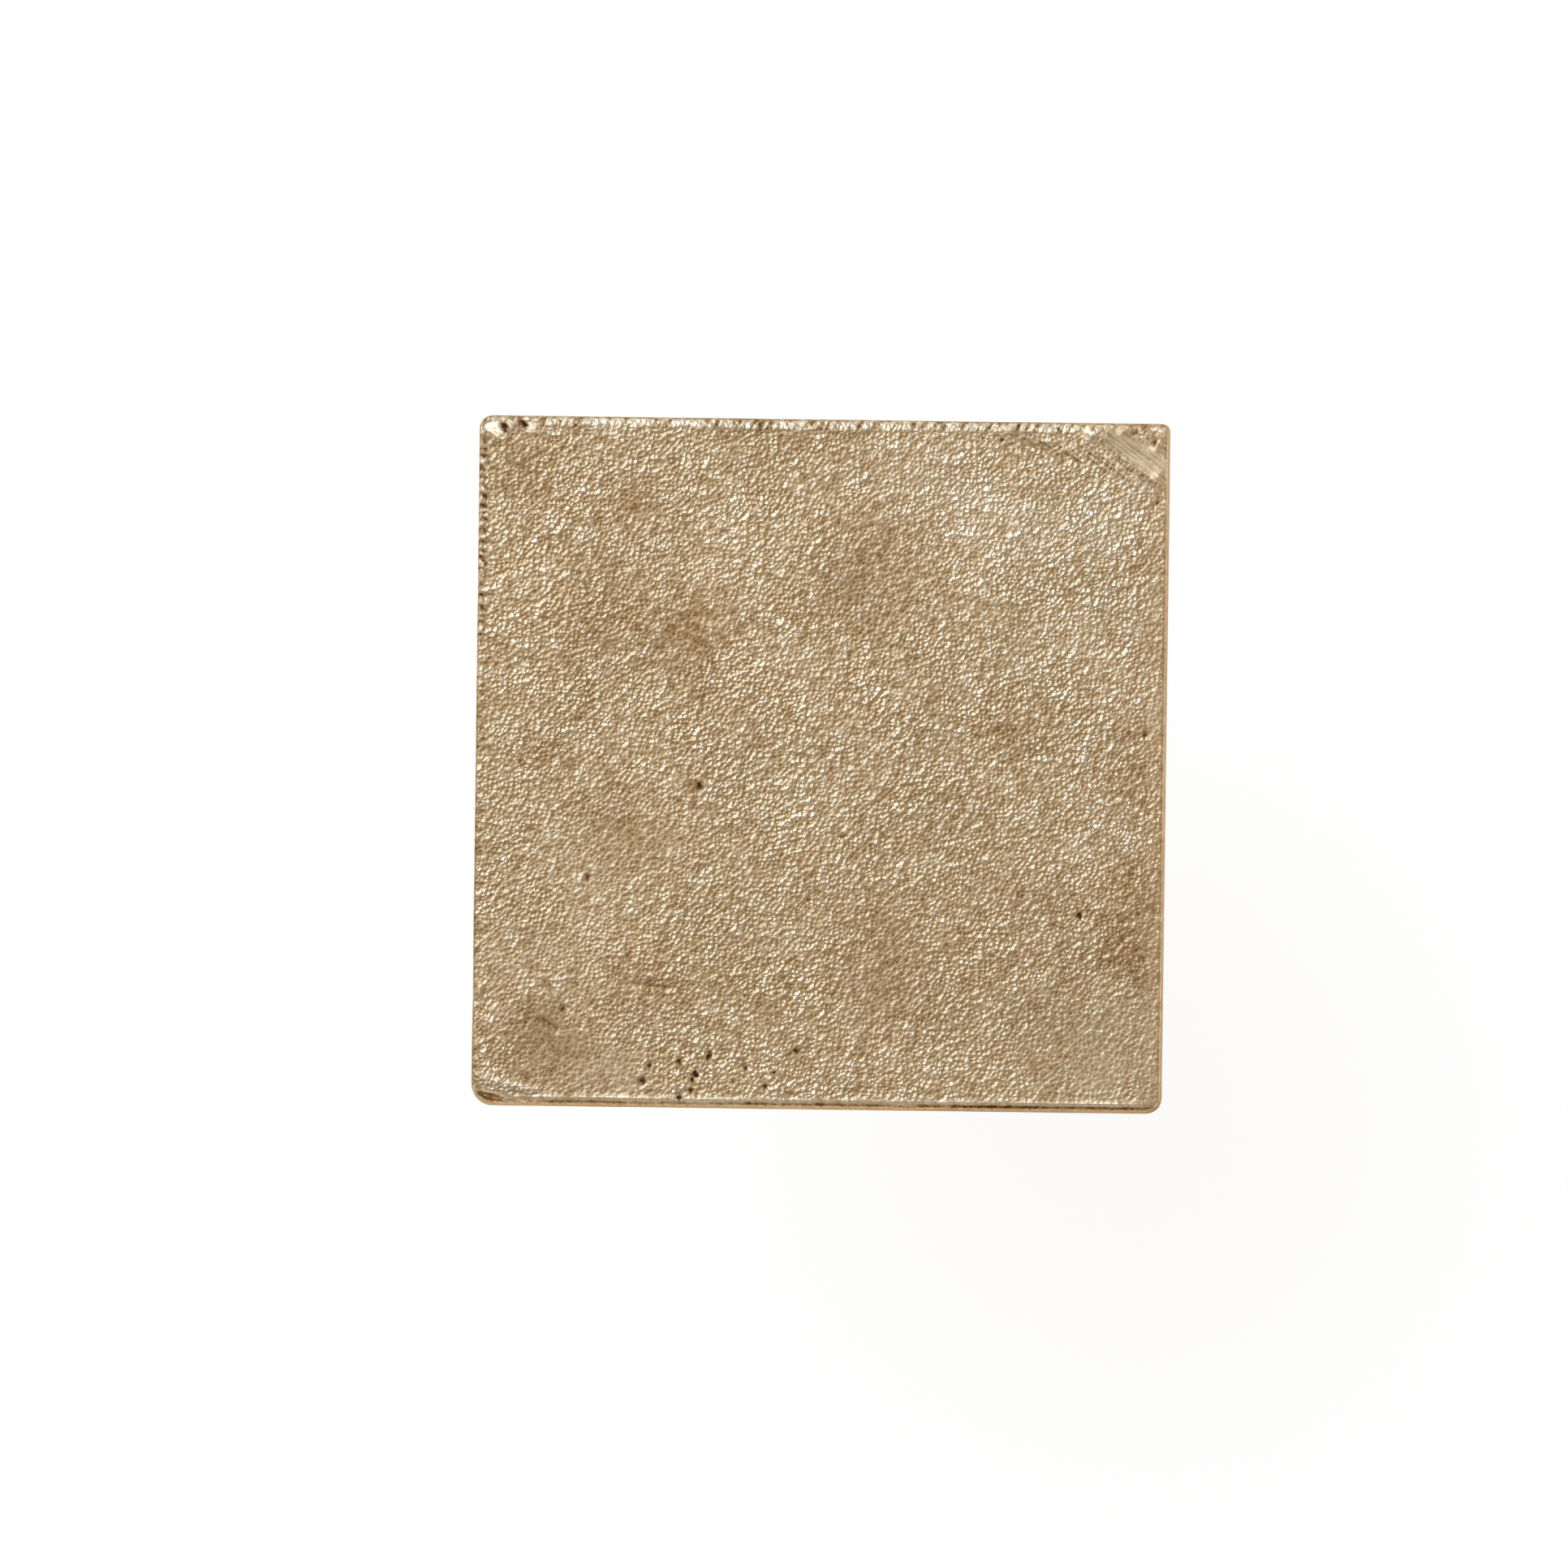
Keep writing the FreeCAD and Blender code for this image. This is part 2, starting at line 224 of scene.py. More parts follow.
def square_ring(cells):
    """Points round a square from -1 to 1, anticlockwise from its lower left corner."""
    run = np.linspace(-1.0, 1.0, cells + 1)[:-1]
    low, high = np.full(cells, -1.0), np.full(cells, 1.0)
    sides = ((run, low), (high, run), (-run, high), (low, -run))
    return np.concatenate([np.stack(side, axis=1) for side in sides])


def plate_outline(ring, depth):
    """The ring of a unit square carried out to the plate's outline at a depth from 0, its front,
    to 1, its back: four leaning sides and four corners of their own radii."""
    half = {side: BACK_HALF - lean * (1 - depth) for side, lean in LEAN.items()}
    x = ring[:, 0] * np.where(ring[:, 0] > 0, half["right"], half["left"])
    y = ring[:, 1] * np.where(ring[:, 1] > 0, half["top"], half["bottom"])
    for (upper, sideways), radius in CORNER.items():
        sx = 1 if sideways == "right" else -1
        sy = 1 if upper == "top" else -1
        cx = sx * (half[sideways] - radius)
        cy = sy * (half[upper] - radius)
        inside = (sx * (x - cx) > 0) & (sy * (y - cy) > 0)
        away = np.where(inside, np.hypot(x - cx, y - cy), 1.0)
        x = np.where(inside, cx + (x - cx) / away * radius, x)
        y = np.where(inside, cy + (y - cy) / away * radius, y)
    return np.stack([x, y], axis=1)


def plate_rings():
    """The points and height of each ring from the grid on the front, over the rim, down the
    sides and in across the back to the bottom of the bore."""
    unit = square_ring(GRID_CELLS)
    inner = unit * GRID_HALF
    outer = plate_outline(unit, 0.0)
    # the rim: flat at first, then a quarter round
    rim_width = BACK_HALF - LEAN["top"] - GRID_HALF
    for k in range(1, RIM_STEPS + 1):
        out = 1 - (1 - k / RIM_STEPS) ** RIM_CROWDING
        inset = max(0.0, EDGE_ROUND - rim_width * (1 - out))
        drop = EDGE_ROUND - math.sqrt(EDGE_ROUND**2 - inset**2)
        yield inner + (outer - inner) * out, HEAD_TOP - drop

    # the sides: two fine rows, then rows with half the vertices down to the back edge
    height = HEAD_TOP - EDGE_ROUND - HEAD_BACK
    fine = SIDE_FINE_STEP / height
    rows = [(unit, fine), (unit, 2 * fine)]
    rows += [(unit[::2], 2 * fine + (1 - 2 * fine) * k / SIDE_ROWS) for k in range(1, SIDE_ROWS + 1)]
    for ring, depth in rows:
        yield plate_outline(ring, depth), HEAD_TOP - EDGE_ROUND - depth * height

    # the back: in from the square outline to the round machined seat, then the blind bore
    square = plate_outline(unit[::4], 1.0)
    angle = np.arctan2(square[:, 1], square[:, 0])
    rounded = np.stack([np.cos(angle), np.sin(angle)], axis=1)
    for k in range(1, BACK_RINGS + 1):
        share = k / BACK_RINGS
        yield square * (1 - share) + rounded * SEAT_RADIUS * share, HEAD_BACK
    for radius in (SEAT_RADIUS, (SEAT_RADIUS + BORE_RADIUS) / 2, BORE_RADIUS):
        yield rounded * radius, HEAD_BACK + SEAT_DEPTH
    yield rounded * BORE_RADIUS, HEAD_BACK + BORE_DEPTH


def plate_mesh():
    """The smooth plate before any grain: vertices and faces of one closed shell."""
    last = GRID_CELLS
    row = last + 1
    side = np.linspace(-GRID_HALF, GRID_HALF, row)
    # each point inside the grid is shifted a little so that its rows don't show in the grain
    shift = np.random.default_rng(5).uniform(-GRID_SHIFT, GRID_SHIFT, (row, row, 2)) * (side[1] - side[0])
    shift[0], shift[-1], shift[:, 0], shift[:, -1] = 0, 0, 0, 0
    verts = []
    for y, shifts in zip(side, shift):
        verts.extend((x + dx, y + dy, HEAD_TOP) for x, (dx, dy) in zip(side, shifts))
    cells = (j * row + i for j in range(last) for i in range(last))
    faces = [(a, a + 1, a + 1 + row, a + row) for a in cells]
    previous = (
        list(range(last))
        + [last + j * row for j in range(last)]
        + [last * row + i for i in range(last, 0, -1)]
        + [j * row for j in range(last, 0, -1)]
    )
    for points, z in plate_rings():
        ring = range(len(verts), len(verts) + len(points))
        verts.extend((x, y, z) for x, y in points)
        faces += join_rings(previous, ring)
        previous = ring
    faces.append(tuple(previous))
    return verts, faces


# ---- the cast plate's surface

# Every length in this section is in millimetres, and places are measured from the face's middle.
GRAIN_SIZE = 0.4
GRAIN_DEPTH = 0.011
SWELL_SIZE = 5.5
SWELL_DEPTH = 0.02
# the band along the right edge where the grain is worn: how far in it starts, and is complete
RIGHT_BAND = (1.15, 0.55)
# the rough band along the top edge, how it falls away, and its notches
TOP_BAND = (0.54, 0.36)
TOP_LEAN = 0.24
NOTCH_PITCH = 0.3
NOTCH_DEPTH = 0.05
# smooth patches at the top left corner: x, y, half length, half height
CORNER_PATCHES = ((-14.95, 15.25, 0.8, 0.42), (-13.55, 15.3, 0.4, 0.33))
PATCH_RISE = 0.05
PATCH_SLOPE = 0.2
# the chain of hollows along the left edge, with beads between them
CHAIN_PITCH = 0.43
CHAIN_INSET = 0.22
CHAIN_WIDTH = 0.1
CHAIN_DEPTH = 0.14
BEAD_INSET = 0.17
BEAD_WIDTH = 0.14
BEAD_RISE = 0.06
# the lip along the bottom edge, the drop outside it and the painted shade that lies there
LIP_INSET = 0.32
LIP_WIDTH = 0.09
LIP_RISE = 0.055
DROP_DEPTH = 0.09
UNDER_LIP_SHADE_OUTER = (0.04, 0.1)
UNDER_LIP_SHADE_INNER = (0.28, 0.2)
# the corner filed off at the top right: a line across it, and how steeply the filed flat falls
FILED_FROM = (12.9, 14.85)
FILED_TO = (15.35, 13.0)
FILED_SLOPE = 0.01
FILED_DEPTH = 0.03
FILE_MARK_PITCH = 0.3
FILE_MARK_DEPTH = 0.03
FILE_MARK_TURN = math.radians(36.0)
FAINT_FILE_LINE = (8.0, 15.3, 12.5, 13.6)
RIB_TURN = math.radians(25.0)
# the chip broken out of the bottom left corner
CHIP_LINE = (-15.7, -15.2, -14.3, -15.6)
CHIP_WIDTH = 0.16
CHIP_DEPTH = 0.22

# patches where the grain is worn faint: x, y, reach, how much of the grain is gone
FAINT_GRAIN = (
    (-8.8, -3.6, 2.6, 0.5),
    (-12.5, -9.0, 4.5, 0.35),
    (-12.0, -13.0, 1.6, 0.6),
    (-9.3, -14.3, 1.9, 0.6),
    (13.5, -13.5, 3.4, 0.5),
    (9.5, -12.5, 3.0, 0.25),
    (2.6, 9.3, 3.0, 0.35),
    (-6.4, 6.4, 1.5, 0.4),
    (-8.8, 11.6, 1.2, 0.4),
    (3.1, -8.9, 2.2, 0.35),
    (13.8, -3.2, 2.4, -0.35),
    (12.6, -7.6, 1.6, -0.3),
)
# stains: x, y, reach, darkening, and how much of that is brown rather than grey
STAINS = (
    (2.6, 9.3, 2.9, 0.5, 0.2),
    (3.1, -9.0, 2.3, 0.4, 0.5),
    (14.3, -8.4, 1.4, 0.55, 0.9),
    (14.3, -5.6, 1.5, 0.4, 0.5),
    (14.3, -1.0, 1.6, 0.3, 0.6),
    (14.6, 1.4, 0.6, 0.5, 0.7),
    (14.0, 15.35, 0.75, 0.8, 0.9),
    (8.7, 1.8, 1.1, 0.45, 0.7),
    (-8.8, 11.7, 1.2, 0.45, 1.0),
    (-6.0, 6.3, 1.6, 0.4, 1.0),
    (-10.3, 7.5, 2.2, 0.25, 0.9),
    (-13.8, 13.2, 1.6, 0.4, 0.4),
    (-8.6, -3.2, 2.2, 0.35, 0.7),
    (-7.9, -10.2, 1.7, 0.25, 0.9),
    (-12.4, -13.2, 2.0, 0.5, 0.5),
    (11.2, -13.1, 1.6, 0.3, 0.3),
    (6.4, -7.7, 1.0, 0.3, 0.6),
    (-5.6, -1.1, 0.5, 0.6, 0.8),
    (-12.5, 0.0, 1.5, 0.15, 0.5),
)
# areas rubbed paler: x, y, reach, how pale
PALE_AREAS = (
    (4.5, 13.2, 4.0, 0.5),
    (9.0, 10.5, 4.5, 0.45),
    (13.5, 11.5, 3.0, 0.5),
    (-9.0, 14.0, 2.6, 0.3),
    (1.0, 0.5, 3.2, 0.3),
    (12.5, -2.0, 3.0, 0.4),
    (13.5, 4.5, 3.2, 0.4),
    (12.5, -12.5, 3.2, 0.3),
    (-14.5, -14.6, 1.6, 0.4),
    (-3.2, 9.5, 2.0, 0.25),
    (9.6, 5.5, 2.5, 0.3),
)
# gas holes: x, y, radius, depth
GAS_HOLES = (
    (-5.6, -14.3, 0.19, 0.3),
    (-5.72, -14.55, 0.14, 0.25),
    (-5.8, -15.05, 0.13, 0.22),
    (-6.35, -15.4, 0.16, 0.25),
    (-5.0, -13.5, 0.15, 0.22),
    (-4.95, -13.25, 0.1, 0.15),
    (-6.35, -13.75, 0.14, 0.2),
    (-8.0, -14.65, 0.17, 0.22),
    (-8.15, -14.8, 0.1, 0.15),
    (-7.7, -13.95, 0.13, 0.18),
    (-3.3, -14.0, 0.14, 0.2),
    (-2.0, -14.2, 0.13, 0.2),
    (-2.4, -14.8, 0.13, 0.18),
    (-3.9, -14.65, 0.1, 0.15),
    (-1.0, -13.15, 0.14, 0.2),
    (-10.65, -5.35, 0.15, 0.14),
    (-5.6, -1.05, 0.15, 0.2),
    (11.95, -6.8, 0.18, 0.2),
    (14.85, 1.55, 0.15, 0.2),
    (13.9, -7.9, 0.15, 0.1),
    (13.75, -8.05, 0.12, 0.08),
    (14.85, -8.75, 0.15, 0.1),
    (14.7, -8.3, 0.12, 0.08),
    (15.25, 12.2, 0.12, 0.2),
    (-11.7, -11.35, 0.13, 0.16),
    (-14.75, 15.3, 0.24, 0.2),
    (-13.85, 15.45, 0.2, 0.2),
    (14.25, 15.42, 0.15, 0.2),
    (15.1, 14.95, 0.13, 0.18),
    (8.1, 15.0, 0.13, 0.18),
    (1.0, -3.3, 0.11, 0.14),
    (4.3, 4.9, 0.1, 0.12),
    (-0.5, -6.2, 0.12, 0.14),
)
# scratches, and raised seams where the depth is negative: from x, y, to x, y, half width, depth
SCRATCHES = (
    (-12.9, -11.7, -11.85, -12.5, 0.09, 0.07),
    (-12.55, -10.1, -12.1, -10.7, 0.07, 0.05),
    (-8.9, -10.15, -6.65, -10.4, 0.1, 0.025),
    (8.4, 15.3, 11.4, 13.95, 0.08, 0.05),
    (9.4, 15.1, 12.1, 13.8, 0.06, 0.04),
    (8.0, 15.0, 10.6, 13.9, 0.05, 0.03),
    (-15.8, -14.35, -14.5, -14.85, 0.12, -0.09),
    (-14.75, -14.75, -12.6, -15.2, 0.1, -0.07),
)
# lumps: x, y, radius, height
LUMPS = (
    (13.65, 15.45, 0.16, 0.09),
    (15.15, 14.65, 0.18, 0.08),
    (15.3, 13.45, 0.2, 0.1),
    (12.3, 15.3, 0.3, 0.1),
    (12.85, 15.15, 0.26, 0.12),
    (-15.7, 10.6, 0.22, 0.09),
    (-15.6, -10.6, 0.2, 0.09),
    (8.5, 15.5, 0.24, 0.1),
)


def spots(points, rows):
    """How strongly each point lies in any of a table's round soft patches."""
    total = np.zeros(len(points))
    for x, y, reach, amount, *_ in rows:
        away = np.hypot(points[:, 0] - x, points[:, 1] - y) / reach
        total += amount * np.exp(-(away**2))
    return total


def along(points, x0, y0, x1, y1):
    """Share of the way along a line, and distance from it, positive to the left."""
    length = math.hypot(x1 - x0, y1 - y0)
    ux, uy = (x1 - x0) / length, (y1 - y0) / length
    dx, dy = points[:, 0] - x0, points[:, 1] - y0
    return (dx * ux + dy * uy) / length, ux * dy - uy * dx


def wear_grain(p):
    """How much grain is left, from none to full."""
    p.grain = 1.0 - np.clip(spots(p.bent, FAINT_GRAIN), -0.5, 0.9) * p.front
    p.grain *= 0.84 + 0.22 * cloudy_noise(p.points, 2.6, 41)
    outer, inner = RIGHT_BAND
    p.right_band = ramp(p.from_right, outer + 0.25 * p.wander, inner) * p.front
    p.grain *= 1 - 0.3 * p.right_band
    p.filed_along, p.filed_in = along(p.points, *FILED_FROM, *FILED_TO)
    p.filed = ramp(p.filed_in + 0.05 * p.wander, 0.0, 0.12) * p.front
    p.filed *= ramp(p.filed_along, -0.2, 0.02)
    p.filed *= 1 - 0.75 * ramp(p.filed_in + 0.1 * p.wander, 1.05, 1.3)
    p.faint_file = ramp(along(p.points, *FAINT_FILE_LINE)[1], -0.1, 0.35)
    p.faint_file *= ramp(p.x, 7.6, 8.6) * p.front
    p.grain *= (1 - 0.88 * p.filed) * (1 - 0.3 * p.faint_file)
    ragged = 0.3 * smooth_noise(p.points, 0.6, 66)
    p.patch = np.zeros(len(p.points))
    for x, y, long, tall in CORNER_PATCHES:
        away = np.hypot((p.x - x) / long, (p.y - y) / tall) + ragged
        p.patch = np.maximum(p.patch, (1 - ramp(away, 0.85, 1.1)) * p.front)
    p.grain *= 1 - 0.7 * p.patch


def lay_grain(p):
    """The sand's own grain, on swells that cross the whole plate, fainter near its back."""
    pebbles = smooth_noise(p.points, GRAIN_SIZE, 21)
    p.height = GRAIN_DEPTH * p.grain * pebbles
    p.height += SWELL_DEPTH * cloudy_noise(p.points, SWELL_SIZE, 51)
    back = HEAD_BACK / MM
    p.height *= 0.25 + 0.75 * ramp(p.z, back + 0.05, back + 0.6)
    p.ridge = pebbles * 0.8 * (0.4 + 0.6 * p.grain) * (0.4 + 0.6 * p.front)


def top_edge(p):
    """A rough band that falls away to the top edge, notched all along, and smooth corner patches."""
    outer, inner = (edge + 0.1 * p.wander for edge in TOP_BAND)
    p.top_band = ramp(p.from_top, outer, inner) * p.front
    notches = p.x / NOTCH_PITCH + 0.8 * p.from_top + 1.3 * smooth_noise(p.points, 0.9, 81)
    notch = notches - np.floor(notches)
    lean = np.clip(0.5 - p.from_top, 0, 1)
    p.ribbed = p.top_band * (1 - p.filed) * (1 - p.patch)
    leaning = -TOP_LEAN * lean * (1 - 0.6 * p.filed)
    p.height += p.front * (leaning + NOTCH_DEPTH * notch * p.ribbed)
    # painted shade in the notches of the top band
    p.notch_dark = p.ribbed * hump(notch, 0.08, 0.16) * ramp(p.wander, -0.5, 0.3)
    p.grain *= 1 - 0.2 * p.ribbed
    tilt = PATCH_SLOPE * (p.x + 14.9) * ramp(p.x, -14.2, -14.5)
    p.height += p.front * p.patch * (tilt + PATCH_RISE)


def left_edge(p):
    """A chain of small hollows along the left edge, with beads between and outside them."""
    y = p.y
    p.turn = 2 * math.pi * (y / CHAIN_PITCH + 0.7 * smooth_noise(p.points, 0.9, 91))
    strength = ramp(y, -15.0, -13.5) * (0.4 + 0.6 * ramp(y, 0.0, 7.0)) * ramp(y, 15.0, 14.7)
    strength *= (0.75 + 0.5 * smooth_noise(p.points, 1.7, 92)) * p.front
    hollow_at = CHAIN_INSET + 0.09 * np.sin(p.turn + 1.5) + 0.08 * p.wander
    hollows = hump(p.from_left, hollow_at, CHAIN_WIDTH) * ramp(np.sin(p.turn), -0.5, 0.3)
    beads = hump(p.from_left, BEAD_INSET, BEAD_WIDTH) * ramp(-np.sin(p.turn), -0.2, 0.5)
    p.hollows = hollows * strength
    p.beads = beads * strength
    p.height += BEAD_RISE * p.beads - CHAIN_DEPTH * p.hollows
    p.ridge += 0.8 * p.beads - 1.5 * p.hollows


def bottom_lip(p):
    """A thin smooth lip that stands up along the bottom edge, with a drop outside it."""
    lip_at = LIP_INSET + 0.03 * p.wander + 0.3 * ramp(p.x, -13.6, -15.6)
    p.lip = hump(p.from_bottom, lip_at, LIP_WIDTH) * p.front
    p.lip *= ramp(p.from_right, 0.3, 1.0)
    p.drop = ramp(p.from_bottom, lip_at - 0.04, lip_at - 0.16)
    p.drop *= ramp(p.facing, -0.1, 0.3)
    p.height += LIP_RISE * p.lip - DROP_DEPTH * p.drop
    p.grain *= 1 - (0.4 * ramp(p.from_bottom, 0.7, 0.45) + 0.55 * p.lip) * p.front
    # painted highlight: the lip's tone is raised to a bright line
    p.ridge += 0.6 * p.lip


def file_marks(p):
    """The filed corner falls away evenly and carries long marks side by side."""
    across = np.stack([p.filed_in, p.filed_along * 0.25, p.filed_in * 0], axis=1)
    marks = FILE_MARK_DEPTH * smooth_noise(across, FILE_MARK_PITCH, 101)
    fall = FILED_SLOPE * np.clip(p.filed_in, 0, 2) + FILED_DEPTH
    p.height -= p.filed * (fall - marks)


def stains(p):
    """Stains, darker hollows and outline at the left, and painted shade, on the face and then on the
    sides.
    """
    x, y, z = p.x, p.y, p.z
    face = np.clip(spots(p.bent, STAINS) + 1.2 * p.hollows, 0, 1.2) * p.front
    # painted shade in the drop outside the bottom lip
    face += 0.8 * p.drop * ramp(x, -13.5, -12.0) * (0.6 + 0.4 * ramp(x, 3.0, 9.0))
    outline = ramp(p.from_left, 0.14, 0.02) * ramp(x, -14, -15) * ramp(p.facing, -0.1, 0.2)
    face += outline * (0.75 - 0.6 * ramp(-np.sin(p.turn), -0.2, 0.3) * ramp(y, 2.0, 8.0))
    face = np.maximum(face, 0.45 * p.notch_dark)
    # painted shade: a dark line between the bottom lip and the edge
    under_lip_shade = ramp(p.from_bottom, *UNDER_LIP_SHADE_OUTER) * ramp(p.from_bottom, *UNDER_LIP_SHADE_INNER)
    under_lip_shade *= ramp(x, -13.5, -12.0) * ramp(p.facing, 0.0, 0.3)
    p.stain = np.maximum(face, (0.9 + 0.8 * ramp(x, 3.0, 9.0) + 0.5 * p.wander) * under_lip_shade)

    top, back = HEAD_TOP / MM, HEAD_BACK / MM
    below = ramp(z, top - 0.25, top - 0.5)
    broken = ramp(z, top - 2.2, top - 0.8) * ramp(smooth_noise(p.points, 0.5, 93), -0.5, 0.2)
    # painted shade on the bottom and right sides, which face away from the key light; then patches near
    # the top of the left and right sides, cloudy tarnish, and darker towards the back
    sides = 0.45 * ramp(y, -14, -15.8) + 0.3 * ramp(x, 14, 15.8)
    sides += broken * (0.8 * ramp(x, -14, -15.8) + 0.55 * ramp(x, 14, 15.8))
    sides += 0.3 * ramp(cloudy_noise(p.points, 2.5, 95, layers=4), -0.2, 0.6)
    sides += 0.35 * ramp(z, back + 2.0, back)
    p.stain += below * sides
    brown_rows = [(sx, sy, reach, amount * share) for sx, sy, reach, amount, share in STAINS]
    p.brown = np.clip(spots(p.bent, brown_rows) + 0.35 * p.right_band, 0, 1) * p.front


def rubbed_and_highlit_areas(p):
    """Where the metal is rubbed pale, and the painted highlight along the top band."""
    # the top band is painted pale, a painted highlight where its slope faces the key light
    pale = spots(p.bent, PALE_AREAS) + 0.9 * p.top_band * (1 - p.filed) + p.patch
    pale = np.clip(pale, 0, 1) * p.front
    p.pale = np.maximum(pale, p.beads) * (1 - 0.8 * p.notch_dark)


def gas_holes(p):
    """Small round pits with painted shade in them, darker the deeper they are."""
    for x, y, radius, depth in GAS_HOLES:
        off_x, off_y = p.x - x, p.y - y
        away = np.hypot(off_x, off_y * 0.85 + 0.25 * off_x) / (0.8 * radius)
        hole = (1 - ramp(away, 0.5, 1.1)) * p.front
        p.height -= depth * hole
        p.ridge -= 2.5 * hole
        p.stain = np.maximum(p.stain, min(1.9, 9.5 * depth) * hole)
        p.pale *= 1 - hole


def scratches(p):
    """Long cuts, and seams that stand up."""
    for x0, y0, x1, y1, half_width, depth in SCRATCHES:
        share, off = along(p.points, x0, y0, x1, y1)
        line = hump(off, 0, half_width) * ramp(share, -0.03, 0.2) * ramp(share, 1.03, 0.8)
        line *= p.front
        p.height -= depth * line
        p.grain *= 1 - 0.8 * line
        p.ridge -= math.copysign(1.0, depth) * line
        if depth < 0:
            p.pale = np.maximum(p.pale, line)


def chip_and_lumps(p):
    """Small lumps, and the chip at the bottom left corner."""
    for x, y, radius, rise in LUMPS:
        p.height += rise * hump(np.hypot(p.x - x, p.y - y), 0, radius) * p.front
    share, off = along(p.points, *CHIP_LINE)
    chip = hump(off + 0.08 * p.wander, 0, CHIP_WIDTH) * p.front
    chip *= ramp(share, -0.2, 0.15) * ramp(share, 1.1, 0.7)
    chip *= 0.6 + 0.4 * ramp(smooth_noise(p.points, 0.35, 96), -0.4, 0.2)
    p.height -= chip * (CHIP_DEPTH + 0.1 * p.wander)
    p.stain = np.maximum(p.stain, 1.1 * chip)
    # painted highlight: the bottom lip is painted pale
    p.pale = np.maximum(p.pale, p.lip)


# in this order, because each builds on those before it
LAYERS = (wear_grain, lay_grain, top_edge, left_edge, bottom_lip, file_marks)
LAYERS += (stains, rubbed_and_highlit_areas, gas_holes, scratches, chip_and_lumps)


def plate_skin(where, normals):
    """The plate's cast skin at a list of points: how far it stands out along the normal, in
    millimetres, and what its material reads."""
    points = where / MM
    x, y, z = points.T
    # each "from" is the distance in from one edge of the face
    half = BACK_HALF / MM
    shift = [cloudy_noise(points, 2.4, 71 + k) for k in range(3)]
    p = SimpleNamespace(
        points=points,
        x=x,
        y=y,
        z=z,
        facing=normals[:, 2],
        front=ramp(normals[:, 2], 0.3, 0.8),
        from_left=half - LEAN["left"] / MM + x,
        from_right=half - LEAN["right"] / MM - x,
        from_bottom=half - LEAN["bottom"] / MM + y,
        from_top=half - LEAN["top"] / MM - y,
        wander=cloudy_noise(points, 1.3, 61),
        bent=points + 0.9 * np.stack(shift, axis=1),
    )
    for lay in LAYERS:
        lay(p)
    faint = 0.55 * p.faint_file * ramp(p.from_top, 0.3, 0.6) * ramp(y, 15.6, 14.2)
    return p.height, {
        "ridge": np.clip(p.ridge, -1, 1),
        "grain": np.clip(p.grain, 0, 1.6),
        "filed": np.maximum(p.filed, faint),
        "stain": p.stain,
        "brown": p.brown,
        "pale": p.pale,
        "smooth": np.clip(np.maximum(p.filed, 0.3 * p.right_band), 0, 1),
        "ribbed": p.ribbed,
    }


def machined(points):
    """1 on the plate's turned seat and bore, 0 on the cast skin."""
    radius = np.hypot(points[:, 0], points[:, 1])
    return np.where((points[:, 2] < HEAD_TOP - 1.0 * MM) & (radius < SEAT_RADIUS * 1.001), 1.0, 0.0)


def make_head(material):
    """The plate with its skin pressed in, and the skin's looks kept for its material."""
    piece = new_piece("cast_plate", plate_mesh(), "knob", "knob_head", material)
    mesh = piece.data
    points, normals = each_vertex(mesh, "co"), each_vertex(mesh, "normal")
    height, looks = plate_skin(points, normals)
    cast = 1 - machined(points)
    moved = points + normals * (height * MM * cast)[:, None]
    mesh.vertices.foreach_set("co", moved.ravel())
    for name, values in looks.items():
        add_value(mesh, name, values * cast)
    mesh.update()


# ---- turned and bought-in pieces

# Every length in this section is in millimetres.


def softened(profile, radius, steps):
    """A closed profile with each of its corners rounded off."""
    points = [Vector(point) for point in profile]
    rounded = []
    for before, corner, after in zip(points[-1:] + points[:-1], points, points[1:] + points[:1]):
        reach = min(radius, (before - corner).length / 2, (after - corner).length / 2)
        start = corner + (before - corner).normalized() * reach
        end = corner + (after - corner).normalized() * reach
        for k in range(steps + 1):
            t = k / steps
            rounded.append(start * (1 - t) ** 2 + corner * 2 * t * (1 - t) + end * t**2)
    return [(point.x, point.y) for point in rounded]


def divided(profile, step):
    """A profile with points added so that none are further apart than a step."""
    points = []
    for (r0, z0), (r1, z1) in zip(profile, profile[1:] + profile[:1]):
        pieces = max(1, math.ceil(math.hypot(r1 - r0, z1 - z0) / step))
        points += [(r0 + (r1 - r0) * k / pieces, z0 + (z1 - z0) * k / pieces) for k in range(pieces)]
    return points


def arc(r, z, radius, quarter, steps):
    """Points on a quarter circle about a place: quarter 0 runs from straight out to straight up."""
    turns = np.linspace(quarter, quarter + 1, steps + 1) * math.pi / 2
    return [(r + radius * math.cos(a), z + radius * math.sin(a)) for a in turns]


def vertex(radius, angle, z, centre=(0, 0)):
    """A vertex, which is in metres, from millimetres."""
    return (centre[0] + radius * math.cos(angle)) * MM, (centre[1] + radius * math.sin(angle)) * MM, z * MM


def round_about(segments):
    """Angles evenly spaced round a circle."""
    return np.linspace(0, 2 * math.pi, segments, endpoint=False)


def circle(radius, z, segments, centre=(0, 0)):
    """A ring of vertices."""
    return [vertex(radius, angle, z, centre) for angle in round_about(segments)]


def joined(rings, capped):
    """A shape from rings of vertices of one length: capped at both ends, or closed on itself."""
    count = len(rings[0])
    numbers = [range(k * count, (k + 1) * count) for k in range(len(rings))]
    after = numbers[1:] if capped else numbers[1:] + numbers[:1]
    faces = [face for pair in zip(numbers, after) for face in join_rings(*pair)]
    if capped:
        faces += [tuple(reversed(numbers[0])), tuple(numbers[-1])]
    return [v for ring in rings for v in ring], faces


def lathe(profile, segments):
    """A ring-shaped solid turned from a closed profile of radius and height."""
    return joined([circle(r, z, segments) for r, z in profile], capped=False)


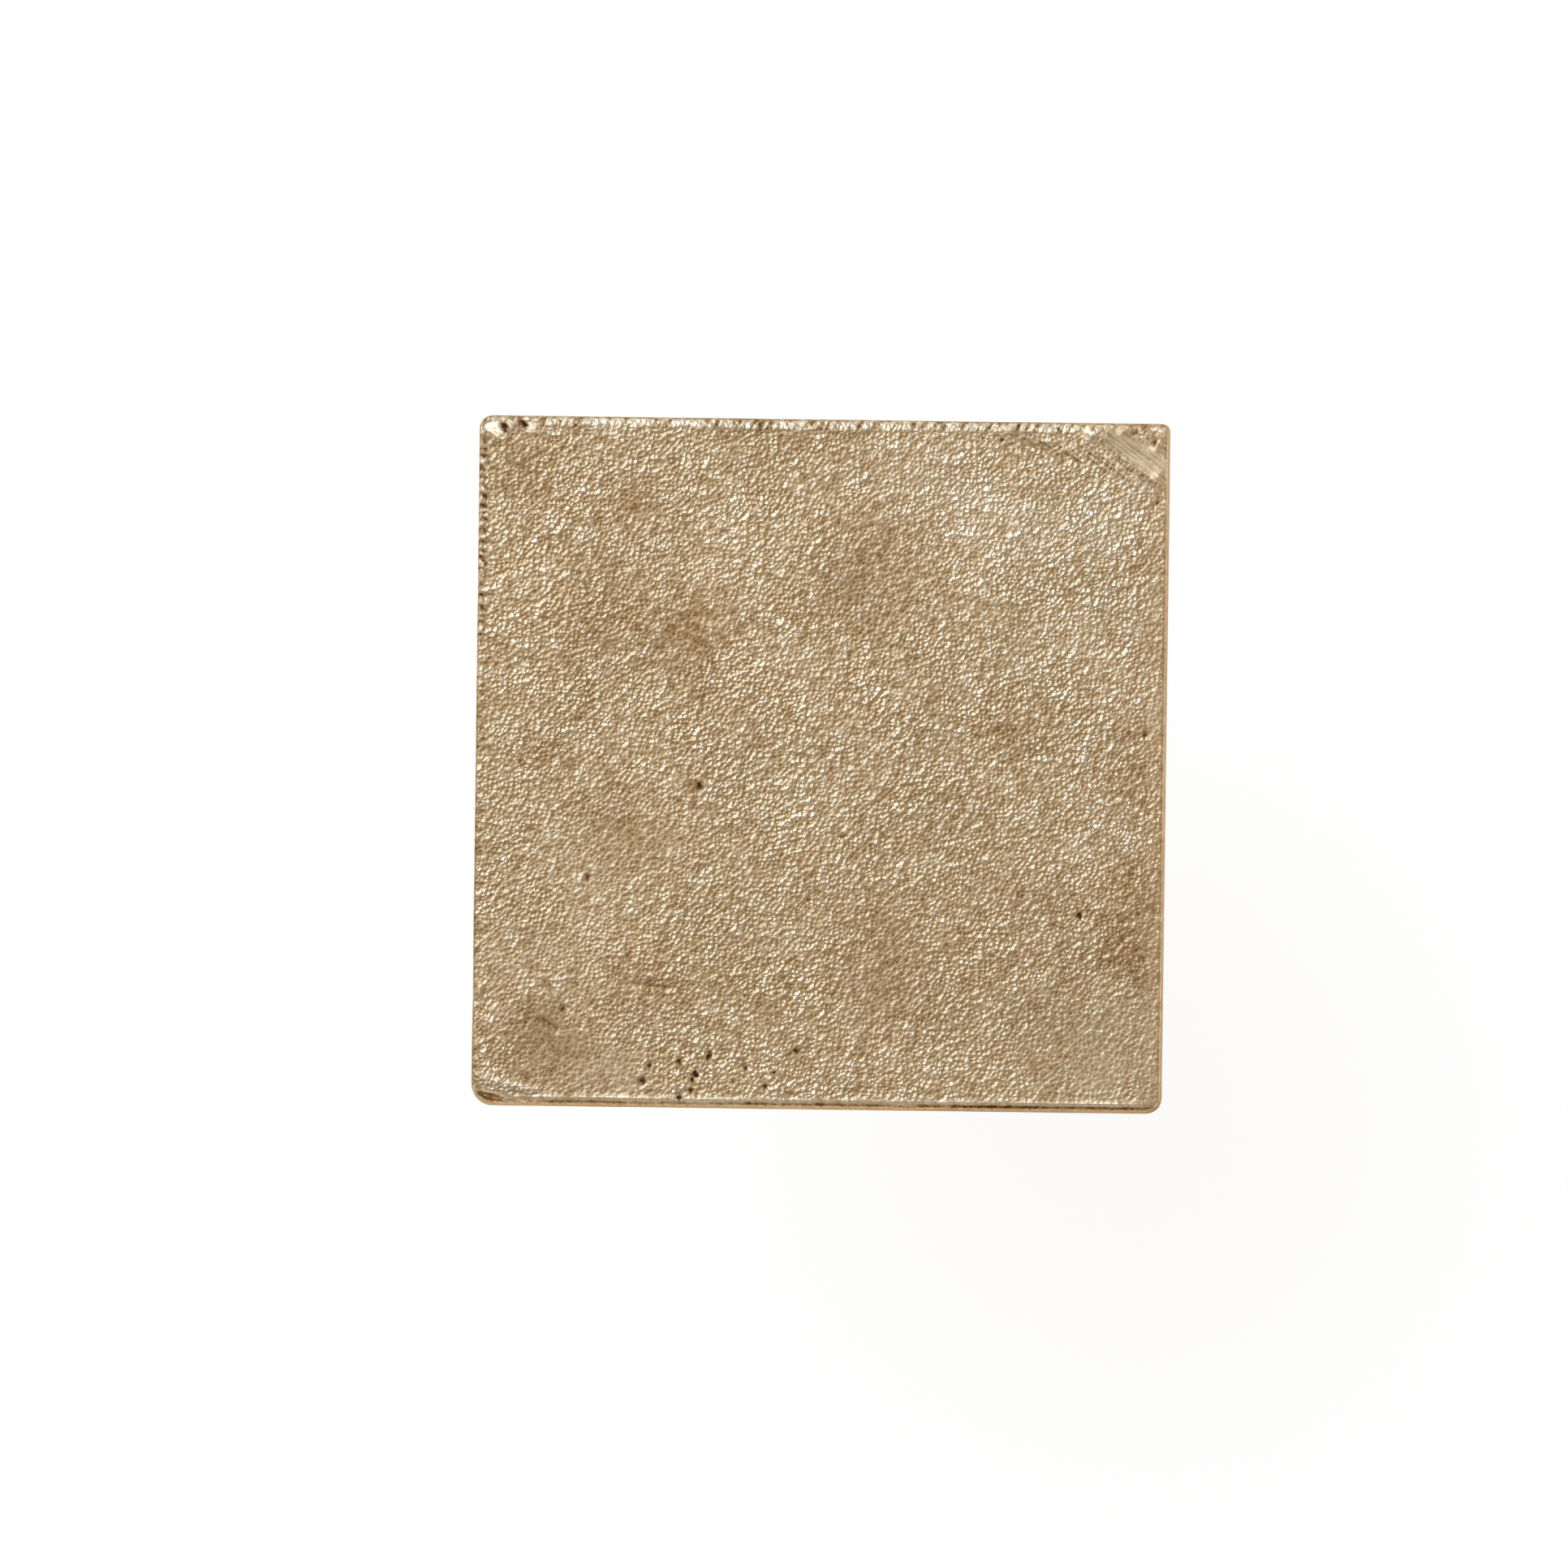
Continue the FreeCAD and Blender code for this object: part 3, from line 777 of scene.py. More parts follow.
def cut(piece, shape):
    """Cuts a closed shape out of a piece for good."""
    tool = mesh_object("tool", *shape)
    outward(tool)
    step = piece.modifiers.new("cut", "BOOLEAN")
    step.operation = "DIFFERENCE"
    step.solver = "EXACT"
    step.object = tool
    bpy.context.view_layer.update()
    graph = bpy.context.evaluated_depsgraph_get()
    shaped = bpy.data.meshes.new_from_object(piece.evaluated_get(graph))
    piece.modifiers.clear()
    piece.data = shaped
    bpy.data.objects.remove(tool)


# the post: a foot, a hollowed neck and a flat top that the plate sits on
FOOT_EDGE = 8.0
FOOT_CHAMFER = 0.3
FOOT_HEIGHT = 1.8
FOOT_ROUND = 0.5
NECK_LOW = (FOOT_EDGE - FOOT_ROUND, FOOT_HEIGHT + FOOT_ROUND)
NECK_HIGH = (6.6, 17.9)
NECK_HOLLOW = 19.5
NECK_POINTS = 40
SPIGOT_RADIUS = 6.9
POST_TOP = STEM_HIGH.z / MM
# the groove's inner and outer radius and its depth, and the radius and start of each bore
GROOVE = (6.0, 7.2, 1.0)
SCREW_BORE = (2.06, 0.5)
STUD_BORE = (2.02, 11.3)
LATHE_STEP = 0.11
LATHE_SEGMENTS = 144
TURNING_PITCH = 0.22
TURNING_DEPTH = 0.005
# the neck's surface lies outside this radius, and the bores inside it
INSIDE_NECK = 5.1

# the pin: a thick end in the foot and a thin end that stands out of it
PIN_CENTRE = (0.0, (PIN_LOW.y + PIN_HIGH.y) / 2 / MM)
PIN_TIP = 0.75
PIN_SHOULDER = 1.0
PIN_CHAMFER = 0.2
PIN_SEGMENTS = 48


def neck_curve():
    """Points up the post's neck, which is hollowed by an arc between its two ends."""
    (r0, z0), (r1, z1) = NECK_LOW, NECK_HIGH
    chord = math.hypot(r1 - r0, z1 - z0)
    along_r, along_z = (r1 - r0) / chord, (z1 - z0) / chord
    reach = math.sqrt(NECK_HOLLOW**2 - (chord / 2) ** 2)
    centre_r = (r0 + r1) / 2 + along_z * reach
    centre_z = (z0 + z1) / 2 - along_r * reach
    start = math.atan2(z0 - centre_z, r0 - centre_r) % (2 * math.pi)
    end = math.atan2(z1 - centre_z, r1 - centre_r) % (2 * math.pi)
    angles = np.linspace(start, end, NECK_POINTS)
    return [(centre_r + NECK_HOLLOW * math.cos(a), centre_z + NECK_HOLLOW * math.sin(a)) for a in angles]


def make_stem(material):
    """The turned post, with fine tool marks round its neck and the hole for its pin."""
    inner, outer, deep = GROOVE
    profile = [(SCREW_BORE[0] + SCREW_BORE[1], 0), (inner, 0), (inner, deep), (outer, deep), (outer, 0)]
    profile += [(FOOT_EDGE - FOOT_CHAMFER, 0), (FOOT_EDGE, FOOT_CHAMFER), (FOOT_EDGE, FOOT_HEIGHT)]
    profile += arc(NECK_LOW[0], FOOT_HEIGHT, FOOT_ROUND, 0, 6)[1:-1]
    profile += neck_curve()
    profile += [(SPIGOT_RADIUS, NECK_HIGH[1]), (SPIGOT_RADIUS, POST_TOP), (STUD_BORE[0], POST_TOP)]
    profile += [STUD_BORE, (SCREW_BORE[0], STUD_BORE[1]), SCREW_BORE]
    fine = divided(profile, LATHE_STEP)
    heights = np.array([(0.0, 0.0, z / TURNING_PITCH) for r, z in fine])
    marks = TURNING_DEPTH * cloudy_noise(heights, 1.0, 201)
    turned = [
        (r - abs(mark) if r > INSIDE_NECK and NECK_LOW[1] < z < NECK_HIGH[1] else r, z)
        for (r, z), mark in zip(fine, marks)
    ]
    shape = lathe(turned, LATHE_SEGMENTS)
    piece = new_piece("turned_post", shape, "knob", "stem", material)
    hole = [circle(PIN_SHOULDER, z, PIN_SEGMENTS, PIN_CENTRE) for z in (-0.5, PIN_HIGH.z / MM)]
    cut(piece, joined(hole, capped=True))
    sharp_edges(piece, 30)
    radius, z = places(piece)
    # painted shade: darker in the crease above the foot and under the plate
    above_foot = hump(z, FOOT_HEIGHT + 0.35, 0.32) * ramp(radius, FOOT_EDGE - 0.05, FOOT_EDGE - 0.3)
    under_plate = 0.75 * ramp(z, NECK_HIGH[1] - 2.2, NECK_HIGH[1] + 0.2)
    add_value(piece.data, "crease_shade", np.maximum(above_foot, under_plate))


def make_pin(material):
    """The stepped steel pin: its thin end stands out of the foot."""
    low, high = PIN_LOW.z / MM, PIN_HIGH.z / MM
    steps = (
        (PIN_TIP - PIN_CHAMFER, low),
        (PIN_TIP - PIN_CHAMFER / 3, low + PIN_CHAMFER / 3),
        (PIN_TIP, low + PIN_CHAMFER),
        (PIN_TIP, -0.02),
        (PIN_SHOULDER - 0.03, 0.0),
        (PIN_SHOULDER - 0.01, 0.03),
        (PIN_SHOULDER - 0.01, high - PIN_CHAMFER),
        (PIN_SHOULDER - PIN_CHAMFER, high - 0.01),
    )
    rings = [circle(r, z, PIN_SEGMENTS, PIN_CENTRE) for r, z in steps]
    shape = joined(rings, capped=True)
    piece = new_piece("locating_pin", shape, "knob", "anti_turn_pin", material)
    sharp_edges(piece, 30)


# the rubber ring's inner and outer radius, and the rounding of its corners
RING_RADII = (6.05, 7.15)
RING_ROUND = 0.25
RING_STEP = 0.2
RING_SEGMENTS = 120


def make_ring(material):
    """The soft ring in the foot's groove."""
    inner, outer = RING_RADII
    bottom, top = RING_LOW.z / MM, RING_HIGH.z / MM
    profile = softened([(inner, bottom), (outer, bottom), (outer, top), (inner, top)], RING_ROUND, 5)
    shape = lathe(divided(profile, RING_STEP), RING_SEGMENTS)
    piece = new_piece("foot_ring", shape, "knob", "base_ring", material)
    sharp_edges(piece, 50)


# the washers: the flat one's rolled and broken edges, the split one's rounding and slanting cut
FLAT_BORE = 2.15
FLAT_ROLL = 0.16
FLAT_BREAK = 0.03
FLAT_STEP = 0.15
SPRING_BORE = 2.1
SPRING_ROUND = 0.12
SLOT_HALF = 0.3
SLOT_SLANT = 0.5
WASHER_SEGMENTS = 120


def make_flat_washer(material):
    """A punched washer: one side rolled over at its edges, the other nearly sharp."""
    bottom, top = FLAT_LOW.z / MM, FLAT_HIGH.z / MM
    rim = FLAT_HIGH.x / MM
    profile = [(FLAT_BORE, bottom + FLAT_BREAK), (FLAT_BORE + FLAT_BREAK, bottom)]
    profile += [(rim - FLAT_BREAK, bottom), (rim, bottom + FLAT_BREAK)]
    profile += arc(rim - FLAT_ROLL, top - FLAT_ROLL, FLAT_ROLL, 0, 5)
    profile += arc(FLAT_BORE + FLAT_ROLL, top - FLAT_ROLL, FLAT_ROLL, 1, 5)
    shape = lathe(divided(profile, FLAT_STEP), WASHER_SEGMENTS)
    piece = new_piece("plain_washer", shape, "washers", "flat_washer", material)
    sharp_edges(piece, 40)


def make_spring_washer(material):
    """A ring of squared wire with a slanting cut through it."""
    bottom, top = SPRING_LOW.z / MM, SPRING_HIGH.z / MM
    rim = SPRING_HIGH.x / MM
    corners = [(SPRING_BORE, bottom), (rim, bottom), (rim, top), (SPRING_BORE, top)]
    section = softened(corners, SPRING_ROUND, 3)
    rings = []
    for share in np.linspace(0, 1, WASHER_SEGMENTS):
        ring = []
        for r, z in section:
            middle = SLOT_SLANT * (z - bottom) / (top - bottom)
            start = math.asin((middle + SLOT_HALF) / r)
            end = 2 * math.pi + math.asin((middle - SLOT_HALF) / r)
            ring.append(vertex(r, start + (end - start) * share, z))
        rings.append(ring)
    shape = joined(rings, capped=True)
    piece = new_piece("split_washer", shape, "washers", "spring_washer", material)
    sharp_edges(piece, 40)


# the screw: an M4 x 25 pan head with a cross recess
THREAD_PITCH = 0.7
THREAD_ROOT = 1.57
THREAD_CREST = 1.995
# shares of the pitch: half of the crest's flat, and one flank
CREST_HALF = 1 / 16
FLANK = 5 / 16
THREAD_RUN_OUT = 0.9
TIP_CHAMFER = 0.5
SCREW_SEGMENTS = 64
ROWS_A_PITCH = 12
HEAD_RADIUS = 3.995
HEAD_ROUND = 1.5
HEAD_CHAMFER = 0.1
SHANK_FOOT = 2.3
RECESS_REACH = 2.2
RECESS_HALF = 0.575
RECESS_DEPTH = 1.7
RECESS_DRAFT = 0.15


def thread_ring(z, seat, tip):
    """One ring of the screw's shank at a height, with the right-hand thread cut into it."""
    depth = min(1.0, max(0.0, (z - seat) / THREAD_RUN_OUT))
    limit = THREAD_CREST - max(0.0, z - (tip - TIP_CHAMFER))
    ring = []
    for angle in round_about(SCREW_SEGMENTS):
        phase = (z / THREAD_PITCH - angle / (2 * math.pi)) % 1.0
        flank = min(1.0, max(0.0, (abs(phase - 0.5) - CREST_HALF) / FLANK))
        radius = min(THREAD_CREST - (THREAD_CREST - THREAD_ROOT) * flank * depth, limit)
        ring.append(vertex(radius, angle, z))
    return ring


def recess_tool(bottom):
    """The cross that is cut into the screw's head, narrower the deeper it goes."""
    rings = []
    for shrink, z in ((-0.02, bottom - 0.2), (0.0, bottom), (RECESS_DRAFT, bottom + RECESS_DEPTH)):
        half, reach = RECESS_HALF - shrink, RECESS_REACH - shrink
        ring = []
        for quarter in range(4):
            turn = Euler((0, 0, quarter * math.pi / 2)).to_matrix()
            for x, y in ((reach, -half), (reach, half), (half, half)):
                corner = turn @ Vector((x, y, 0))
                ring.append((corner.x * MM, corner.y * MM, z * MM))
        rings.append(ring)
    return joined(rings, capped=True)


def make_screw(material):
    """The pan-head screw with its whole thread and the cross in its head."""
    bottom, tip = SCREW_LOW.z / MM, SCREW_HIGH.z / MM
    seat = SPRING_LOW.z / MM
    flat = HEAD_RADIUS - HEAD_ROUND
    head = [(flat - 0.05, bottom)] + arc(flat, bottom + HEAD_ROUND, HEAD_ROUND, -1, 11)
    head += [(HEAD_RADIUS, seat - HEAD_CHAMFER), (HEAD_RADIUS - HEAD_CHAMFER, seat)]
    head += [(SHANK_FOOT, seat), (THREAD_CREST, seat + 0.02)]
    rings = [circle(r, z, SCREW_SEGMENTS) for r, z in head]
    rows = round((tip - seat) / THREAD_PITCH * ROWS_A_PITCH)
    rings += [thread_ring(z, seat, tip) for z in np.linspace(seat + 0.05, tip, rows)]
    shape = joined(rings, capped=True)
    piece = new_piece("pan_head_screw", shape, "screw", "mount_screw", material)
    cut(piece, recess_tool(bottom))
    sharp_edges(piece, 35)
    radius, z = places(piece)
    # painted shade: darker in the thread next to the head and in the cross recess
    floor = bottom + RECESS_DEPTH
    in_thread = ramp(z, seat, seat + 0.4) * ramp(radius, THREAD_CREST - 0.05, THREAD_ROOT + 0.05)
    in_recess = ramp(z, bottom + 0.1, bottom + 0.9) * ramp(z, floor + 0.1, floor - 0.2)
    in_recess *= ramp(radius, RECESS_REACH + 0.15, RECESS_REACH + 0.05)
    add_value(piece.data, "crease_shade", 0.8 * np.maximum(in_thread, in_recess))


# ---- materials


class Nodes:
    """A material's node tree, built a node at a time. An input is a socket or a plain value."""

    def __init__(self, name):
        self.material = bpy.data.materials.new(name)
        self.material.use_nodes = True
        self.tree = self.material.node_tree
        coords = self.add("ShaderNodeTexCoord", {})
        self.place = self.vector("SCALE", {0: coords.outputs["Object"], "Scale": 1 / MM}).outputs[0]

    def put(self, socket, item):
        if isinstance(item, bpy.types.NodeSocket):
            self.tree.links.new(item, socket)
        else:
            socket.default_value = (*item, 1.0) if socket.type == "RGBA" else item

    def add(self, kind, inputs, **settings):
        node = self.tree.nodes.new(kind)
        for key, value in settings.items():
            setattr(node, key, value)
        for key, item in inputs.items():
            self.put(node.inputs[key], item)
        return node

    def vector(self, operation, inputs):
        return self.add("ShaderNodeVectorMath", inputs, operation=operation)

    def math(self, operation, *inputs):
        return self.add("ShaderNodeMath", dict(enumerate(inputs)), operation=operation).outputs[0]

    def times(self, first, second):
        return self.math("MULTIPLY", first, second)

    def total(self, first, *others):
        for other in others:
            first = self.math("ADD", first, other)
        return first

    def turned_place(self, angles, stretch=(1, 1, 1)):
        """The position in millimetres, turned about the axes and then stretched along them."""
        inputs = {"Vector": self.place, "Rotation": angles}
        turn = self.add("ShaderNodeMapping", inputs, vector_type="POINT")
        return self.vector("MULTIPLY", {0: turn.outputs["Vector"], 1: stretch}).outputs[0]

    def ring_place(self):
        """Radius and height in millimetres, so that a pattern runs round the axis."""
        flat = self.vector("MULTIPLY", {0: self.place, 1: (1, 1, 0)})
        radius = self.vector("LENGTH", {0: flat.outputs[0]})
        split = self.add("ShaderNodeSeparateXYZ", {0: self.place})
        inputs = {"X": radius.outputs["Value"], "Z": split.outputs["Z"]}
        return self.add("ShaderNodeCombineXYZ", inputs).outputs[0]

    def noise(self, per_mm, detail, roughness, place=None):
        inputs = {"Scale": per_mm, "Detail": detail, "Roughness": roughness}
        inputs["Vector"] = place or self.place
        return self.add("ShaderNodeTexNoise", inputs).outputs["Fac"]

    def grains(self, per_mm, place):
        """How far each point is from the middle of its grain."""
        inputs = {"Scale": per_mm, "Vector": place}
        return self.add("ShaderNodeTexVoronoi", inputs, feature="F1").outputs["Distance"]

    def value(self, name):
        """A number that each vertex of the mesh carries."""
        return self.add("ShaderNodeAttribute", {}, attribute_name=name).outputs["Fac"]

    def spread(self, source, low, high, to_low=0.0, to_high=1.0):
        """Carries one range over to another with a smooth step."""
        inputs = {"Value": source, "From Min": low, "From Max": high, "To Min": to_low, "To Max": to_high}
        return self.add("ShaderNodeMapRange", inputs, interpolation_type="SMOOTHSTEP").outputs["Result"]

    def colours(self, source, stops):
        """A colour for each value, from a table of values and their colours."""
        node = self.add("ShaderNodeValToRGB", {"Fac": source})
        elements = node.color_ramp.elements
        while len(elements) < len(stops):
            elements.new(0.5)
        for element, (where, colour) in zip(elements, stops):
            element.position = where
            element.color = (*colour, 1.0)
        return node.outputs["Color"]

    def mix(self, share, first, second, blend="MIX"):
        inputs = {0: share, 6: first, 7: second}
        return self.add("ShaderNodeMix", inputs, data_type="RGBA", blend_type=blend).outputs[2]

    def bump(self, height, distance):
        inputs = {"Height": height, "Distance": distance, "Strength": 1.0}
        return self.add("ShaderNodeBump", inputs).outputs["Normal"]

    def shade(self, **inputs):
        """Fills in the shader's inputs, whose names have _ for each space."""
        for key, item in inputs.items():
            self.put(self.tree.nodes["Principled BSDF"].inputs[key.replace("_", " ")], item)
        return self.material


def cast_brass():
    """Sand-cast brass: brown in its pits, pale where the ridges are rubbed, cloudy patina, and painted
    highlights and painted shade in its colour.
    """
    n = Nodes("cast_brass")
    ridge, grain, smooth, stain = (n.value(name) for name in ("ridge", "grain", "smooth", "stain"))
    brown, pale, filed, ribbed = (n.value(name) for name in ("brown", "pale", "filed", "ribbed"))
    cloud = n.noise(0.16, 4.0, 0.55)
    patch = n.noise(0.5, 3.0, 0.55)
    pebbles = n.grains(5.2, n.turned_place((0.5, 0.4, 0.6)))
    # file marks run down to the right, at the slope of the filed corner's border
    marks = n.noise(1.0, 3.0, 0.7, n.turned_place((0, 0, FILE_MARK_TURN), (0.35, 6.5, 1)))
    # the ribs of the top edge slant up to the right
    ribs = n.noise(1.0, 1.0, 0.5, n.turned_place((0, 0, RIB_TURN), (4.0, 0.9, 1)))
    speck = n.noise(8.0, 2.0, 0.6)

    # the tone, from 0 in the pits to 1 on the ridges
    # painted highlight and shade: the top band's ribs are painted light and dark
    rib_light_and_shade = n.times(n.spread(ribs, 0.38, 0.58, -0.4, 0.3), ribbed)
    tone = n.total(
        n.spread(ridge, -0.9, 0.9, 0.06, 0.46),
        n.spread(pebbles, 0.0, 0.75, 0.0, 0.35),
        n.spread(speck, 0.3, 0.7, -0.05, 0.12),
        n.times(pale, 0.16),
        n.times(stain, -0.22),
        # painted highlight and shade: the file marks are painted as light and dark lines
        n.times(n.spread(marks, 0.38, 0.62, -0.55, 0.5), filed),
        rib_light_and_shade,
    )
    stops = (
        (0.0, (0.155, 0.084, 0.028)),
        (0.35, (0.50, 0.334, 0.166)),
        (0.65, (0.70, 0.525, 0.32)),
        (1.0, (0.94, 0.81, 0.62)),
    )
    colour = n.mix(n.times(smooth, 0.55), n.colours(tone, stops), (0.98, 0.78, 0.50))
    # paler where rubbed and where highlights are painted: the pale value and the ribs' painted light
    rubbed_and_highlight = n.spread(n.total(pale, n.times(rib_light_and_shade, 0.8)), 0.5, 1.0, 0.0, 0.6)
    colour = n.mix(rubbed_and_highlight, colour, (0.96, 0.83, 0.61))
    patina = n.mix(n.spread(cloud, 0.35, 0.62), (0.92, 0.90, 0.87), (1.03, 1.03, 1.03))
    colour = n.mix(1.0, colour, patina, "MULTIPLY")
    # darker with the stains and the painted shade
    colour = n.mix(n.times(stain, 0.45), colour, (0.60, 0.50, 0.42), "MULTIPLY")
    colour = n.mix(n.times(brown, 0.55), colour, (0.80, 0.62, 0.45), "MULTIPLY")
    roughness = n.total(
        n.spread(ridge, -0.8, 0.8, 0.42, 0.27),
        n.spread(patch, 0.3, 0.7, -0.05, 0.05),
        n.times(stain, 0.15),
        n.times(smooth, 0.08),
    )
    sand = n.total(n.math("POWER", pebbles, 1.3), n.times(speck, 0.5))
    relief = n.total(
        n.times(sand, n.math("MAXIMUM", grain, 0.12)),
        n.times(n.times(marks, filed), 1.2),
        n.times(n.times(ribs, ribbed), 1.5),
    )
    normal = n.bump(relief, 0.05 * MM)
    tint = (0.85, 0.68, 0.45)
    return n.shade(Metallic=1.0, Base_Color=colour, Roughness=roughness, Normal=normal, Specular_Tint=tint)


# Metals with marks round their axis: dark, middle and light tone, least and most roughness, the
# marks' spacing and depth in millimetres, and the tint of the bloom.
RINGED_METALS = {
    "turned_brass": (
        ((0.26, 0.155, 0.06), (0.66, 0.47, 0.225), (0.84, 0.64, 0.34)),
        ((0.15, 0.27), (0.11, 0.012), (0.86, 0.72, 0.58)),
    ),
    "zinc_steel": (
        ((0.20, 0.205, 0.215), (0.45, 0.46, 0.475), (0.68, 0.69, 0.70)),
        ((0.16, 0.32), (0.2, 0.012), (0.86, 0.93, 1.0)),
    ),
    "spring_steel": (
        ((0.14, 0.14, 0.145), (0.30, 0.30, 0.31), (0.50, 0.50, 0.50)),
        ((0.28, 0.46), (0.12, 0.02), (0.9, 0.86, 0.78)),
    ),
    "pin_steel": (
        ((0.26, 0.26, 0.26), (0.44, 0.44, 0.44), (0.64, 0.64, 0.63)),
        ((0.22, 0.38), (0.07, 0.01), (0.9, 0.88, 0.84)),
    ),
    "black_oxide": (
        ((0.02, 0.02, 0.022), (0.05, 0.05, 0.052), (0.12, 0.12, 0.125)),
        ((0.4, 0.6), (0.2, 0.02), (0.8, 0.75, 0.7)),
    ),
}


def ringed_metal(name):
    """One of the ringed metals: dark to light in clouds, darker with painted shade in creases and
    recesses, with a faint bloom of another tint, and roughness and relief that follow the marks."""
    (dark, middle, light), ((low, high), (pitch, depth), bloom) = RINGED_METALS[name]
    n = Nodes(name)
    cloud = n.noise(0.28, 3.0, 0.5)
    fine = n.noise(11.0, 2.0, 0.6)
    rings = n.noise(1 / pitch, 3.0, 0.65, n.ring_place())
    tone = n.total(n.spread(cloud, 0.25, 0.75, 0.25, 0.62), n.spread(rings, 0.25, 0.75, 0.0, 0.38))
    # painted shade where the crease value is high
    tone = n.math("SUBTRACT", tone, n.times(n.value("crease_shade"), 0.75))
    colour = n.colours(tone, ((0.0, dark), (0.55, middle), (1.0, light)))
    colour = n.mix(n.spread(n.noise(0.9, 3.0, 0.6), 0.5, 0.8, 0.0, 0.4), colour, bloom, "MULTIPLY")
    roughness = n.total(n.spread(cloud, 0.35, 0.65, high, low), n.spread(fine, 0.3, 0.7, -0.03, 0.05))
    relief = n.total(rings, n.times(fine, 0.35))
    normal = n.bump(relief, depth * MM)
    return n.shade(Metallic=1.0, Base_Color=colour, Roughness=roughness, Normal=normal)


def ring_rubber():
    """Matt black rubber with a dusty bloom and a moulded grain."""
    n = Nodes("ring_rubber")
    cloud = n.noise(0.5, 4.0, 0.6)
    fine = n.noise(7.0, 3.0, 0.6)
    tone = n.total(n.spread(cloud, 0.35, 0.65, 0.0, 0.5), n.spread(fine, 0.3, 0.75, 0.0, 0.5))
    colour = n.colours(tone, ((0.0, (0.018, 0.018, 0.018)), (1.0, (0.075, 0.072, 0.068))))
    roughness = n.spread(cloud, 0.3, 0.7, 0.6, 0.82)
    normal = n.bump(fine, 0.03 * MM)
    return n.shade(Metallic=0.0, Base_Color=colour, Roughness=roughness, Normal=normal)


# ---- stage, light and camera

# low enough to stay clear of the screw's head when the screw is backed out
FLOOR_Z = SCREW_LOW.z - 5.1 * MM
FLOOR_RADIUS = 3.0
FLOOR_GREY = (0.34, 0.34, 0.34)
# the floor's glow under the knob and far out, and the millimetres between which it grows
FLOOR_GLOW = (0.782, 0.9)
FLOOR_GLOW_REACH = (300, 1300)
# the studio's light near the horizon and overhead: how far up, and its colour
HORIZON = (0.1, (1.05, 1.05, 1.05, 1))
OVERHEAD = (0.75, (0.398, 0.37, 0.34, 1))
FACE_WIDTH_IN_VIEW = 72.0 * MM
CAMERA_DISTANCE = 600 * MM
CAMERA_TURN = math.radians(0.75)
VIEW_OFFSET = (1.72 * MM, 0.9 * MM)
KEY_TILT = math.radians(27)
KEY_TURN = math.radians(132)
KEY_DISTANCE = 0.8
KEY_SIZE = 0.46
KEY_POWER = 1.84
KEY_COLOUR = (0.87, 1.0, 1.2)


def make_floor():
    """A wide pale floor that glows almost white, so that only a faint shadow shows on it."""
    n = Nodes("pale_floor")
    n.shade(Base_Color=FLOOR_GREY, Roughness=0.9, Specular_IOR_Level=0.0)
    # far out, where the lamp doesn't reach, the glow makes up for it
    far = n.vector("LENGTH", {0: n.place}).outputs["Value"]
    n.shade(Emission_Color=(1, 1, 1), Emission_Strength=n.spread(far, *FLOOR_GLOW_REACH, *FLOOR_GLOW))
    corners = [(-1, -1), (1, -1), (1, 1), (-1, 1)]
    verts = [(x * FLOOR_RADIUS, y * FLOOR_RADIUS, FLOOR_Z) for x, y in corners]
    floor = mesh_object("floor", verts, [(0, 1, 2, 3)])
    floor.data.materials.append(n.material)


